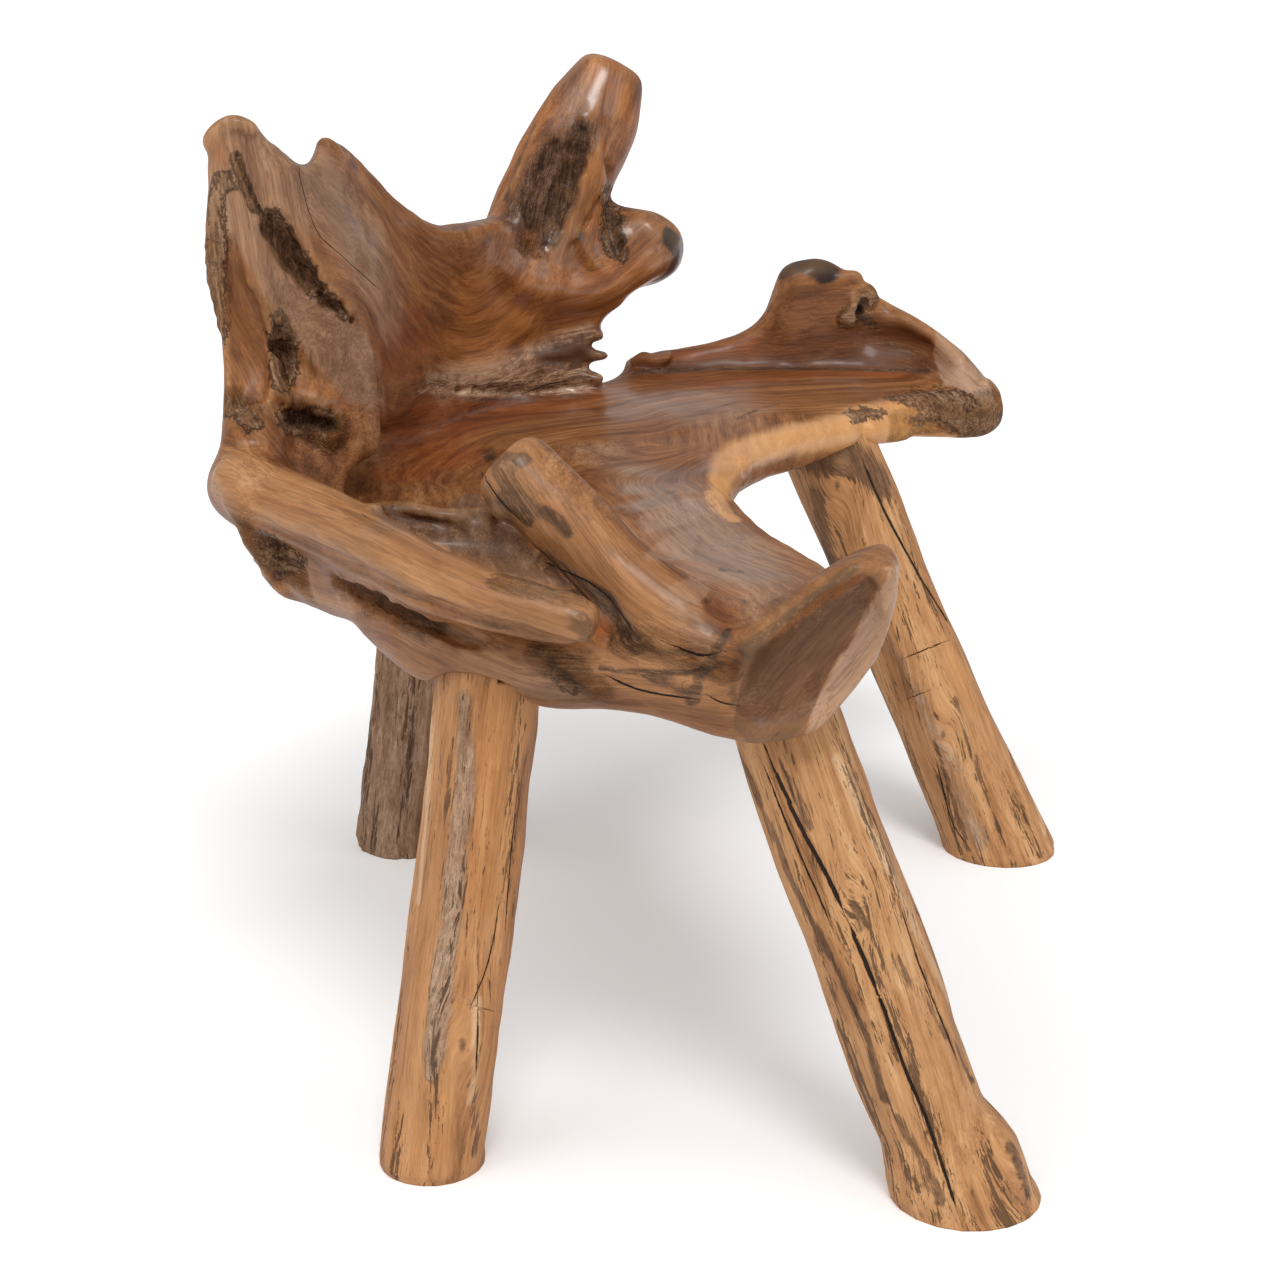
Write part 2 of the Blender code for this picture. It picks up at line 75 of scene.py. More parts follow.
def lattice(points, cell, seed):
    """Noise from -1 to 1: random values at the corners of cubes, and 3t^2 - 2t^3 of the way between them."""
    table = np.random.default_rng(seed).uniform(-1, 1, (LATTICE_SIZE,) * 3)
    place = points / cell
    corner = np.floor(place).astype(int)
    share = place - corner
    share = share * share * (3 - 2 * share)
    total = np.zeros(len(points))
    for x, y, z in np.ndindex(2, 2, 2):
        side = np.where((x, y, z), share, 1 - share)
        total += side.prod(axis=1) * table[tuple(((corner + (x, y, z)) % LATTICE_SIZE).T)]
    return total


def fractal(points, cell, seed, octaves=3):
    """Lattice noise with finer copies of itself added, each half the size and half the strength."""
    return sum(lattice(points, cell / 2 ** n, seed + n) / 2 ** n for n in range(octaves))


def through(stops, count):
    """Places on a smooth line through the stops.

    Each stretch is a cubic. Its slope at a stop is half the way from the stop before to the stop after.
    """
    stops = np.asarray(stops, float)
    padded = np.vstack([2 * stops[0] - stops[1], stops, 2 * stops[-1] - stops[-2]])
    way = np.linspace(0, len(stops) - 1, count)
    first = np.minimum(way.astype(int), len(stops) - 2)
    t = (way - first)[:, None]
    a, b, c, d = (padded[first + n] for n in range(4))
    return 0.5 * (2 * b + (c - a) * t + (2 * a - 5 * b + 4 * c - d) * t ** 2
                  + (3 * b - a - 3 * c + d) * t ** 3)


def spaced(stops, spacing):
    """The smooth line through stops, with a place for each so many pixels. One stop stays as it is."""
    stops = np.asarray(stops, float)
    if len(stops) == 1:
        return stops
    length = np.linalg.norm(np.diff(stops[:, :2], axis=0), axis=1).sum()
    return through(stops, max(3, int(length / spacing)))


# ---- Places seen by the camera

def mesh_arrays(mesh):
    """The corner places and the triangles of a mesh."""
    mesh.calc_loop_triangles()
    places = np.empty(len(mesh.vertices) * 3, np.float32)
    mesh.vertices.foreach_get("co", places)
    corners = np.empty(len(mesh.loop_triangles) * 3, np.int32)
    mesh.loop_triangles.foreach_get("vertices", corners)
    return places.reshape(-1, 3), corners.reshape(-1, 3)


def touch_tree(node):
    """The tree that tells where a ray meets a CAD node."""
    places, corners = mesh_arrays(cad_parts[node].data)
    return BVHTree.FromPolygons(places.tolist(), corners.tolist())


def sight(pixel):
    """The direction of the camera's ray through a pixel: the camera looks along +X, tilted down."""
    reach = CAMERA_SENSOR / CAMERA_LENS / PHOTO_HEIGHT
    right = (pixel[0] - PHOTO_WIDTH / 2) * reach
    up = (PHOTO_HEIGHT / 2 - pixel[1]) * reach
    ahead = np.cos(CAMERA_TILT) + up * np.sin(CAMERA_TILT)
    rise = up * np.cos(CAMERA_TILT) - np.sin(CAMERA_TILT)
    return Vector((ahead, -right, rise)).normalized()


def seen(tree, pixels):
    """Where rays through the pixels meet the wood, and which way it faces there. Misses are left out."""
    hits = [tree.ray_cast(Vector(CAMERA_PLACE), sight(pixel)) for pixel in pixels]
    hits = [hit for hit in hits if hit[0] is not None]
    return np.array([hit[0] for hit in hits]), np.array([hit[1] for hit in hits])


def level_with(tree, anchor, pixels):
    """Places on the rays through the pixels, as far along the bench as the wood seen at the anchor."""
    far = seen(tree, [anchor])[0][0][0]
    rays = np.array([sight(pixel) for pixel in pixels])
    return CAMERA_PLACE + rays * ((far - CAMERA_PLACE[0]) / rays[:, :1])


def trail(tree, pixels, spacing):
    """The places and outward directions along a smooth line through the pixels."""
    return seen(tree, spaced(pixels, spacing))


# ---- Carving

# Where a bell curve is taken as 0, in shares of its reach
BELL_END = 2.4

# The noise of torn wood: the size of its marks and its seed
TORN_CELL = 0.011
TORN_SEED = 5


def chain_distance(points, path, radii):
    """The distance of each point from a chain of round bars whose radius runs evenly from stop to stop."""
    nearest = np.full(len(points), np.inf)
    if len(path) == 1:
        return np.linalg.norm(points - path[0], axis=1) - radii[0]
    for start, end, first, last in zip(path, path[1:], radii, radii[1:]):
        along = end - start
        share = np.clip((points - start) @ along / max(along @ along, 1e-12), 0, 1)
        gap = np.linalg.norm(points - start - share[:, None] * along, axis=1)
        nearest = np.minimum(nearest, gap - first - share * (last - first))
    return nearest


def bell(points, path, reach):
    """The bell curve exp(-(distance / reach)^2) of the distance of points from a path, 0 far from it."""
    share = np.zeros(len(points))
    if len(path) == 0:
        return share
    low, high = path.min(axis=0) - BELL_END * reach, path.max(axis=0) + BELL_END * reach
    close = np.nonzero(((points > low) & (points < high)).all(axis=1))[0]
    distance = chain_distance(points[close], path, np.zeros(len(path)))
    share[close] = np.exp(-(distance / reach) ** 2)
    return share


def blend_min(first, second, blend):
    """The lower of two distances, rounded where they are alike."""
    near = np.maximum(blend - np.abs(first - second), 0)
    return np.minimum(first, second) - near * near / (4 * blend)


class Carving:
    """A wooden body as signed distances on a cubic grid, below zero inside the wood."""

    def __init__(self, node, step, reach):
        places, corners = mesh_arrays(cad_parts[node].data)
        measure = openvdb.createLinearTransform(voxelSize=step)
        solid = openvdb.FloatGrid.createLevelSetFromPolygons(
            places, triangles=corners.astype(np.uint32), transform=measure, halfWidth=float(reach))
        low, high = solid.evalActiveVoxelBoundingBox()
        self.step = step
        self.low = np.array(low)
        self.depth = np.empty(tuple(np.array(high) - low + 1), np.float32)
        solid.copyToArray(self.depth, ijk=tuple(low))

    def block(self, low, high):
        """The part of the grid between two corners: its slices and its points."""
        first = np.maximum(np.floor(low / self.step).astype(int) - self.low, 0)
        last = np.minimum(np.ceil(high / self.step).astype(int) - self.low + 1, self.depth.shape)
        ranges = [np.arange(a, b) for a, b in zip(first, last)]
        grid = np.stack(np.meshgrid(*ranges, indexing="ij"), -1).reshape(-1, 3)
        return tuple(slice(a, b) for a, b in zip(first, last)), (grid + self.low) * self.step

    def bar(self, path, radii, blend, rough=0):
        """The block round a chain of bars, and the distances from it, roughened by noise where it is torn."""
        path = np.asarray(path, float)
        radii = np.broadcast_to(radii, len(path)).astype(float)
        margin = radii.max() + blend + rough + 2 * self.step
        block, points = self.block(path.min(axis=0) - margin, path.max(axis=0) + margin)
        distance = chain_distance(points, path, radii)
        if rough:
            distance = distance + rough * fractal(points, TORN_CELL, TORN_SEED)
        return block, distance.reshape(self.depth[block].shape)

    def add(self, path, radii, blend):
        """Grow a chain of bars onto the wood."""
        block, distance = self.bar(path, radii, blend)
        self.depth[block] = blend_min(self.depth[block], distance, blend)

    def cut(self, path, radii, blend, rough=0):
        """Hollow a chain of bars out of the wood."""
        block, distance = self.bar(path, radii, blend, rough)
        self.depth[block] = -blend_min(-self.depth[block], distance, blend)

    def sand(self, passes):
        """Smooth the whole body: each pass averages neighbours 1 : 2 : 1 along each axis."""
        for _ in range(passes):
            for axis in range(3):
                padded = np.moveaxis(self.depth, axis, 0)
                middle = padded[1:-1] * 2
                padded[1:-1] = (padded[:-2] + middle + padded[2:]) / 4

    def shift(self, field):
        """Move the skin out by a field of its places, near the skin only."""
        near = np.nonzero(np.abs(self.depth) < 3 * self.step)
        points = (np.stack(near, -1) + self.low) * self.step
        self.depth[near] -= field(points).astype(np.float32)

    def skin(self):
        """The places and the four-cornered faces of the skin, without loose crumbs."""
        grid = openvdb.FloatGrid(float(self.depth.max()))
        grid.copyFromArray(np.ascontiguousarray(self.depth))
        places, faces = grid.convertToQuads(isovalue=0.0)
        faces = faces.astype(np.int64)
        label = np.arange(len(places))
        edges = np.vstack([faces[:, [n, (n + 1) % 4]] for n in range(4)])
        while True:
            lowest = np.minimum(label[edges[:, 0]], label[edges[:, 1]])
            before = label.copy()
            np.minimum.at(label, edges[:, 0], lowest)
            np.minimum.at(label, edges[:, 1], lowest)
            label = label[label]
            if (label == before).all():
                break
        main = np.bincount(label).argmax()
        kept = np.nonzero(label == main)[0]
        renumber = np.full(len(places), -1)
        renumber[kept] = np.arange(len(kept))
        faces = renumber[faces[label[faces[:, 0]] == main]]
        return (places[kept] + self.low) * self.step, faces


# ---- The root

# The grid that the root is carved on: its cell, and the cells that it measures on each side of the skin
CARVING_STEP = 0.0032
CARVING_REACH = 9
ROOT_TRIANGLES = 190000

# Sanding passes: on the solid, on its sheets, on the carved root, and for the far smoother skin that creases
# and edges are told from
SOLID_SANDING = 3
SHEET_SANDING = 3
CARVED_SANDING = 1
BEND_SANDING = 14

# How far a carved form runs into the wood beside it
SHEET_BLEND = 0.02
SWELLING_BLEND = 0.012
TRIM_BLEND = 0.006
CUT_BLEND = 0.003

# A sheet's bars, the stops along each, and the way from its skin to their middles in shares of their radius
SHEET_BARS = 17
SHEET_STOPS = 16
SHEET_INWARD = np.array([0.30, 0.95, 0])

# Stops along a trim, and how far past its radius a grown one starts behind its anchor, in millimetres
TRIM_STOPS = 10
TRIM_SETBACK = 3

# Places along bars, tints, cracks and grain, a place for each so many pixels
BAR_SPACING = 4
TINT_SPACING = 10
CRACK_SPACING = 5
GRAIN_SPACING = 14

# The thinnest bar, in millimetres
LEAST_RADIUS = 0.5

# Ripples of the skin: the size of a wave, the seed of its noise, its finer copies, and its height
RIPPLES = ((0.11, 21, 2, 0.0022), (0.026, 31, 2, 0.0007))

# Ridges of bark: the size of a wave, the seed of its noise and its finer copies, and their height
BARK_RIDGES = (0.017, 41, 3)
BARK_HEIGHT = 0.0030

# Hollows and swellings: stops (across, down, radius, depth of the middle under the wood seen there), the
# first two in pixels, the last two in millimetres. A hollow's stops come after its roughness in millimetres
HOLLOWS = {
    "web edge": (0,
                 ((228, 240, 5, 2), (233, 285, 9, 5), (238, 340, 12, 8), (240, 385, 12, 8),
                  (234, 406, 8, 4))),
    "web": (0, ((246, 296, 7, 6), (256, 330, 10, 10), (259, 365, 12, 11), (258, 392, 9, 8))),
    "crevice": (0, ((234, 151, 2, 0), (239, 165, 2, 1), (246, 180, 2, 1), (257, 209, 3, 1))),
    "cleft": (3,
              ((265, 218, 6, 1), (276, 234, 9, 2), (290, 256, 10, 2), (307, 280, 8, 2), (323, 297, 5, 1),
               (338, 309, 4, 1), (351, 321, 2, 1))),
    "pit": (4, ((279, 322, 4, 1), (283, 345, 9, 3), (284, 374, 9, 3))),
    "pit crack": (1, ((290, 368, 4, 2), (305, 366, 3, 1), (318, 378, 2, 0))),
    "arch": (2, ((286, 416, 6, 1), (305, 421, 9, 3), (326, 426, 6, 1))),
    "knot cracks": (1, ((218, 405, 2, 0), (235, 412, 3, 1), (252, 420, 2, 0))),
    "horn hollow": (4,
                    ((582, 132, 8, 0), (575, 155, 13, 3), (566, 185, 14, 3), (554, 218, 13, 2),
                     (545, 242, 8, 0))),
    "horn hollow left": (3, ((552, 145, 9, 1), (540, 172, 10, 1), (530, 200, 9, 1), (532, 228, 6, 1))),
    "horn scar": (2, ((562, 140, 4, 1), (552, 170, 5, 2), (545, 205, 5, 2))),
    "horn groove": (1, ((600, 190, 3, 1), (590, 215, 4, 1), (570, 250, 3, 1))),
    "knot hole": (1, ((606, 162, 4, 2), (609, 172, 4, 2))),
    "nose fold": (1, ((612, 200, 5, 1), (610, 228, 6, 2), (618, 250, 5, 1))),
    "nose hole": (0, ((580, 235, 4, 2), (582, 240, 4, 2))),
    "knob hole": (2, ((852, 314, 4, 1), (858, 310, 6, 4), (864, 304, 3, 1))),
    "knob crack": (1, ((867, 320, 2, 0), (871, 332, 2, 0), (874, 342, 1, 0))),
    "under the arm": (0,
                      ((250, 521, 3, 1), (315, 550, 5, 2), (400, 591, 5, 2), (450, 611, 5, 2),
                       (500, 627, 5, 2), (550, 640, 4, 2), (596, 654, 3, 1))),
    "arm channel": (1, ((335, 578, 5, 1), (380, 602, 8, 2), (430, 625, 8, 2), (480, 643, 5, 1))),
    "arm crevice": (1, ((606, 600, 3, 1), (612, 622, 4, 2), (608, 645, 3, 1))),
    "fin scoop": (0, ((860, 588, 14, -6), (832, 632, 38, -20), (794, 680, 42, -24), (764, 706, 24, -11))),
    "fin step": (0, ((742, 650, 3, 1), (732, 680, 3, 1), (732, 708, 2, 1))),
    "gutter end": (1, ((392, 515, 5, 1), (420, 520, 6, 2), (450, 525, 5, 1))),
    "ledge groove": (3, ((418, 392, 4, 1), (460, 388, 5, 2), (520, 392, 4, 1), (570, 388, 3, 0))),
    "ledge groove 2": (1, ((500, 372, 2, 0), (535, 362, 2, 0), (560, 360, 2, 0))),
    "far hollow": (0, ((870, 338, 26, -19), (900, 346, 26, -18), (922, 350, 16, -10))),
}
SWELLINGS = {
    "cleft lip": ((262, 210, 4, 1), (272, 206, 5, 0), (285, 210, 5, 0), (301, 238, 5, 1),
                  (322, 280, 4, 1), (346, 308, 3, 1)),
    "arch top": ((272, 394, 5, 2), (300, 396, 7, 2), (335, 404, 6, 2)),
    "horn ridge": ((596, 150, 5, 2), (598, 185, 6, 2), (592, 222, 6, 2)),
    "nose lip": ((585, 246, 6, 2), (600, 268, 8, 3), (622, 276, 8, 3), (642, 266, 7, 3), (656, 254, 5, 2)),
    "nose pad": ((642, 218, 10, 6), (655, 232, 11, 7)),
    "horn knot": ((580, 235, 9, 5),),
    "arm knob": ((232, 470, 22, 12), (240, 490, 22, 12)),
    "fin rim": ((888, 575, 6, 2), (872, 612, 7, 2), (856, 648, 7, 2), (836, 686, 7, 2), (806, 724, 6, 2)),
    "fin lip": ((750, 645, 5, 2), (800, 605, 5, 2), (850, 572, 5, 2)),
    "broken bark": ((868, 290, 5, 1), (860, 300, 6, 1), (850, 312, 6, 1), (845, 322, 5, 1)),
    "wall rim": ((905, 318, 7, 2), (935, 338, 8, 2), (958, 360, 9, 3)),
    "brow": ((500, 262, 12, 6), (532, 284, 23, 9), (575, 292, 19, 8), (620, 286, 14, 6), (655, 268, 10, 5)),
    "ledge": ((416, 378, 5, 2), (450, 374, 6, 2), (500, 366, 7, 3), (545, 356, 7, 3), (580, 345, 6, 3)),
    "ledge bar": ((436, 384, 5, 1), (460, 378, 5, 1), (492, 372, 4, 1)),
    "slab edge": ((745, 466, 11, 6), (786, 444, 13, 7), (840, 436, 14, 6), (905, 430, 12, 6)),
    "under ridge": ((400, 606, 5, 2), (440, 632, 6, 3), (474, 648, 5, 2)),
    "plate rim": ((524, 571, 7, 6), (535, 576, 7, 6), (546, 580, 7, 6), (556, 583, 7, 6)),
    "gutter rim": ((376, 508, 4, 0), (410, 510, 5, 0), (440, 516, 4, 0), (500, 512, 4, 1)),
}

# Sheets of wood: the radius of their bars in millimetres, and the two lines on the wood, as stops in pixels,
# that their bars lead from and to
SHEETS = (
    (20, ((284, 178), (302, 212), (322, 255), (342, 305), (350, 360), (347, 412)),
     ((340, 172), (385, 235), (415, 285), (430, 325), (435, 362), (428, 398))),
)

# Strands of grain: the lane of each, so that strands of one lane lie apart, and stops in pixels
LANES = 4
STRANDS = (
    (0, ((300, 175), (340, 240), (395, 305), (460, 335), (520, 310), (560, 250), (578, 180), (600, 80))),
    (0, ((225, 478), (332, 520), (464, 580), (590, 625))),
    (0, ((650, 358), (760, 350), (900, 345), (965, 385))),
    (1, ((380, 452), (470, 425), (600, 405), (720, 388), (900, 380))),
    (1, ((560, 298), (610, 285), (670, 235))),
    (1, ((765, 725), (820, 660), (880, 590))),
    (2, ((225, 170), (240, 260), (255, 350), (290, 440))),
    (2, ((575, 470), (630, 505), (700, 560), (800, 600))),
    (2, ((275, 585), (370, 625), (500, 685), (640, 700), (735, 712))),
    (3, ((505, 460), (560, 540), (630, 620), (700, 655))),
)

# Cracks: half width in millimetres, and stops in pixels
CRACKS = (
    (0.4, ((297, 165), (303, 190), (310, 215), (320, 236), (335, 250), (355, 268), (380, 290))),
    (0.6, ((385, 255), (390, 262), (393, 272))),
    (0.6, ((394, 254), (390, 262))),
    (0.7, ((540, 560), (600, 590), (640, 640))),
    (0.8, ((660, 640), (700, 655), (725, 650))),
    (0.8, ((600, 672), (640, 690), (700, 700))),
    (0.6, ((480, 470), (500, 500), (530, 530))),
    (0.6, ((715, 408), (740, 402), (775, 404))),
    (0.6, ((520, 395), (545, 385), (575, 380))),
    (0.6, ((700, 690), (720, 702), (745, 706))),
)

# Tints: reach in millimetres, strength, and stops in pixels
TINTS = {
    "amber": ((30, 0.9, ((545, 100), (520, 150), (500, 200))),
              (25, 0.8, ((600, 60), (625, 100), (632, 140), (615, 190))),
              (16, 0.9, ((598, 150), (600, 190), (592, 225))),
              (40, 0.9, ((470, 300), (540, 300), (600, 300))), (30, 0.7, ((610, 290), (650, 270))),
              (22, 0.7, ((290, 395), (320, 395), (345, 400))),
              (30, 0.6, ((380, 360), (420, 350), (520, 345))),
              (26, 0.5, ((770, 320), (800, 300), (810, 280)))),
    "tan": ((10, 0.9, ((208, 135), (214, 150))), (8, 0.7, ((436, 384), (460, 378), (492, 372))),
            (7, 0.9, ((264, 210), (283, 209), (301, 238), (321, 281), (347, 310))),
            (40, 0.9, ((225, 475), (300, 500), (400, 555), (500, 595), (590, 625))),
            (42, 1.0, ((505, 455), (550, 520), (600, 570), (650, 615))),
            (9, 0.8, ((532, 135), (515, 175), (498, 205))), (9, 0.9, ((530, 348), (560, 335), (588, 326))),
            (30, 0.7, ((600, 660), (680, 690), (740, 700))),
            (12, 0.9, ((210, 140), (211, 250), (222, 330), (216, 410))),
            (14, 0.8, ((930, 335), (960, 360), (975, 385))), (16, 0.7, ((855, 318), (872, 298)))),
    "red": ((13, 0.9, ((604, 628), (606, 632))), (34, 0.9, ((385, 350), (420, 330))),
            (50, 0.9, ((400, 440), (470, 420), (560, 400), (600, 395))),
            (30, 0.7, ((390, 478), (430, 468), (465, 455))),
            (26, 0.9, ((650, 365), (760, 350), (860, 345), (930, 350))),
            (26, 0.8, ((700, 385), (800, 375), (900, 370))), (9, 0.9, ((222, 142), (226, 165))),
            (14, 0.8, ((246, 270), (256, 330), (254, 385)))),
    "grey": ((16, 0.8, ((430, 380), (480, 371), (540, 356), (592, 346))),
             (16, 0.6, ((440, 392), (520, 388), (596, 378))),
             (56, 1.0, ((322, 178), (350, 230), (385, 285))), (16, 0.9, ((222, 182), (216, 215))),
             (28, 0.9, ((238, 128), (262, 168), (288, 208))),
             (24, 0.9, ((230, 215), (262, 258), (290, 300))),
             (36, 0.6, ((420, 640), (500, 680), (560, 692))),
             (18, 0.6, ((680, 606), (700, 636), (706, 660))),
             (40, 0.7, ((600, 450), (660, 500), (740, 560), (780, 600))),
             (40, 0.6, ((620, 400), (700, 420), (760, 410))),
             (22, 0.8, ((390, 525), (470, 540), (550, 590))), (12, 0.5, ((640, 225), (655, 240)))),
    "sap": ((10, 0.8, ((712, 492), (722, 510), (735, 520))),),
    # The dark tint: dark stains, hollows and cracks, and in the strokes marked below, painted shade
    "dark": ((2.5, 1.0, ((237, 153), (240, 165), (246, 180), (254, 198), (260, 210))),
             (10, 0.7, ((296, 424), (315, 424), (332, 424))),
             (13, 0.9, ((582, 132), (576, 155), (569, 185), (560, 215), (550, 238))),
             (7, 0.6, ((612, 198), (609, 225), (616, 250))),
             (4, 0.6, ((412, 394), (450, 398), (520, 399), (590, 394))),
             (10, 0.6, ((940, 408), (960, 412), (985, 414))), (5, 0.9, ((720, 570), (740, 572))),
             (5, 0.9, ((706, 602), (728, 598), (745, 601))),
             (5, 0.7, ((738, 420), (755, 410), (778, 404))),
             (5, 0.8, ((728, 630), (715, 652), (700, 680), (692, 702))),
             (7, 0.6, ((650, 678), (680, 690), (694, 700))),
             (9, 0.7, ((614, 606), (624, 628), (634, 650))),
             (7, 0.6, ((640, 640), (660, 652), (690, 652))),
             (8, 0.5, ((868, 580), (835, 600), (790, 630), (755, 655))),
             (4, 0.8, ((600, 668), (640, 672), (690, 672), (722, 664))),
             # Painted shade: this stroke darkens the strip under the near arm's lower edge
             (5, 0.5, ((255, 519), (315, 550), (400, 591), (470, 618), (550, 642))),
             (12, 0.8, ((541, 552), (565, 572), (590, 592))),
             (10, 0.7, ((605, 600), (618, 618), (625, 632))),
             (7, 0.8, ((502, 500), (515, 510), (528, 522))),
             (7, 0.8, ((546, 512), (558, 522), (568, 534))),
             (8, 0.8, ((490, 456), (508, 462), (524, 458))),
             (8, 0.6, ((538, 650), (560, 670), (582, 688))),
             # Painted shade: these two strokes darken the edges of the fin's scoop
             (9, 0.6, ((742, 650), (733, 680), (734, 706))),
             (6, 0.8, ((854, 566), (806, 604), (752, 644))),
             (5, 0.7, ((632, 374), (695, 369), (831, 369), (932, 371))),
             # Painted shade: the first stroke here darkens the right of the far arm's inner wall
             (20, 0.5, ((880, 345), (910, 355))), (9, 0.8, ((515, 205), (530, 225))),
             (7, 0.6, ((535, 125), (515, 170), (505, 200))),
             (8, 0.9, ((624, 205), (622, 225), (618, 245))), (6, 0.9, ((580, 236),)),
             # Painted shade: the second stroke here darkens the seat's left side
             (8, 1.0, ((856, 310), (872, 325))), (20, 0.4, ((380, 445), (450, 470))),
             (9, 0.8, ((490, 450), (505, 480), (525, 505))),
             (12, 0.7, ((540, 560), (575, 590), (600, 600))), (12, 0.75, ((578, 622), (590, 634))),
             (6, 0.5, ((345, 176), (372, 203), (398, 232), (420, 262), (434, 290), (432, 315), (412, 328)))),
    "black": ((13, 1.0, ((671, 238), (680, 252), (673, 270))),
              (15, 1.0, ((786, 270), (805, 263), (826, 270)))),
    "polish": ((40, 1.0, ((590, 70), (590, 112))), (50, 1.0, ((500, 245), (550, 275), (645, 272))),
               (16, 1.0, ((530, 250), (540, 285))),
               (60, 1.0, ((450, 430), (560, 410), (700, 400), (850, 385))),
               (50, 0.9, ((640, 480), (740, 570))), (16, 1.0, ((675, 245), (675, 265))),
               (50, 0.6, ((350, 230), (400, 300))), (14, 0.8, ((303, 400), (330, 408))),
               (20, 0.9, ((720, 470), (790, 436), (900, 415)))),
    "rough": ((17, 0.5, ((548, 145), (535, 175), (524, 205), (530, 235))),
              (14, 0.9, ((620, 640), (680, 650), (726, 670))), (14, 0.7, ((540, 655), (600, 690))),
              (14, 0.8, ((213, 255), (218, 335))), (14, 0.7, ((220, 385), (249, 410))),
              (16, 0.6, ((340, 580), (430, 628))), (5, 1.0, ((236, 158), (245, 185), (253, 205))),
              (9, 1.0, ((265, 218), (276, 234), (290, 256), (307, 280), (330, 304))),
              (11, 1.0, ((281, 322), (284, 380))), (18, 1.0, ((283, 412), (305, 422), (328, 430))),
              (24, 0.45, ((578, 128), (570, 155), (556, 185), (544, 215), (534, 240))),
              (12, 0.4, ((412, 384), (450, 380), (520, 385), (590, 375))),
              (16, 0.4, ((560, 350), (595, 345))), (20, 1.0, ((900, 428), (950, 412), (995, 408))),
              (16, 0.8, ((245, 525), (265, 550), (300, 580))), (12, 0.9, ((848, 318), (872, 295))),
              (12, 0.6, ((500, 580), (590, 600)))),
}

# Patches of other wood: outlines in pixels, of which the camera sees all
PATCHES = {
    "plank": (((222, 214), (262, 214), (276, 246), (292, 270), (306, 292), (322, 302), (338, 313),
               (356, 326), (380, 360), (385, 410), (345, 400), (322, 372), (300, 340),
               (286, 322), (270, 308), (256, 280), (238, 245)),),
    "gutter": (((372, 508), (400, 503), (440, 509), (470, 492), (500, 500), (540, 555), (588, 590),
                (560, 588), (500, 573), (440, 543), (385, 520)),),
    "web": (((224, 222), (238, 248), (256, 283), (268, 308), (274, 322), (272, 350), (274, 385),
             (300, 396), (330, 404), (300, 408), (270, 410), (240, 400), (228, 395),
             (226, 330), (225, 270)),),
    "bark": (((262, 214), (275, 213), (288, 228), (298, 248), (312, 262), (318, 280), (335, 295),
              (350, 320), (338, 312), (320, 300), (305, 290), (290, 268), (275, 245),
              (264, 228)),
             ((272, 316), (282, 320), (290, 332), (296, 348), (297, 372), (293, 388), (280, 392),
              (272, 384), (270, 360)),
             ((276, 414), (288, 410), (310, 407), (330, 411), (338, 424), (326, 434), (300, 436),
              (284, 432)),
             ((212, 178), (224, 190), (222, 215), (226, 250), (226, 300), (224, 345), (216, 330),
              (206, 300), (202, 250), (205, 215)),
             ((214, 174), (230, 172), (234, 186), (224, 193), (214, 190)),
             ((606, 185), (618, 188), (622, 205), (620, 228), (628, 250), (624, 262), (610, 254),
              (602, 236)),
             ((886, 398), (912, 392), (958, 390), (996, 404), (1004, 421), (990, 436), (971, 442),
              (954, 432), (937, 425), (912, 427), (901, 421), (917, 412), (912, 406)),
             ((844, 413), (866, 408), (888, 411), (878, 419), (853, 420)),
             ((540, 655), (556, 660), (580, 690), (574, 694), (552, 676)),
             ((214, 398), (236, 400), (250, 408), (262, 424), (250, 432), (232, 418), (216, 416)),
             ((250, 532), (262, 534), (290, 548), (306, 562), (300, 575), (280, 578), (266, 565),
              (256, 550))),
    "sap": (((712, 492), (708, 474), (714, 455), (726, 446), (750, 436), (777, 428), (806, 422),
             (836, 414), (870, 404), (903, 396), (925, 394), (940, 430), (1000, 440),
             (960, 460), (895, 452), (836, 450), (785, 456), (745, 466), (735, 480),
             (728, 500)),),
    "burr": (((575, 126), (586, 130), (594, 139), (590, 150), (580, 166), (577, 186), (574, 205),
              (563, 221), (552, 238), (541, 246), (537, 234), (528, 228), (514, 230),
              (504, 220), (509, 204), (519, 187), (524, 171), (540, 146), (558, 134)),),
    "burl": (((410, 392), (440, 380), (496, 370), (520, 354), (545, 342), (570, 331), (588, 322),
              (596, 331), (606, 338), (594, 346), (610, 356), (594, 363), (607, 378),
              (592, 392), (560, 394), (520, 396), (480, 396)),),
    "spalt": (((640, 560), (652, 545), (668, 536), (690, 528), (700, 530), (698, 545), (690, 556),
               (670, 562)), ((662, 590), (690, 575), (708, 580), (712, 592), (700, 604), (680, 602)),
              ((636, 520), (660, 505), (690, 500), (705, 515), (690, 522), (660, 530), (645, 534))),
    "pale": (((888, 566), (904, 566), (914, 592), (904, 616), (890, 648), (872, 680), (842, 714),
              (808, 734), (812, 706), (826, 682), (840, 656), (858, 629), (872, 603),
              (884, 582)),
             ((937, 330), (950, 336), (968, 360), (988, 378), (996, 404), (975, 400), (960, 392),
              (946, 384), (938, 372), (934, 352)),
             ((843, 318), (858, 300), (870, 292), (874, 300), (864, 308), (852, 324)),
             ((426, 376), (450, 372), (456, 380), (440, 388), (428, 386))),
    "wall": (((748, 350), (768, 330), (778, 300), (790, 284), (850, 290), (850, 320), (875, 312),
              (905, 322), (930, 340), (938, 372), (760, 372)),
             ((640, 366), (690, 358), (750, 350), (752, 371), (640, 372))),
    "scoop": (((742, 656), (798, 624), (835, 600), (872, 573), (884, 572), (868, 603), (855, 629),
               (838, 656), (825, 682), (805, 725), (779, 744), (752, 744), (732, 728),
               (736, 705), (740, 682)),),
}

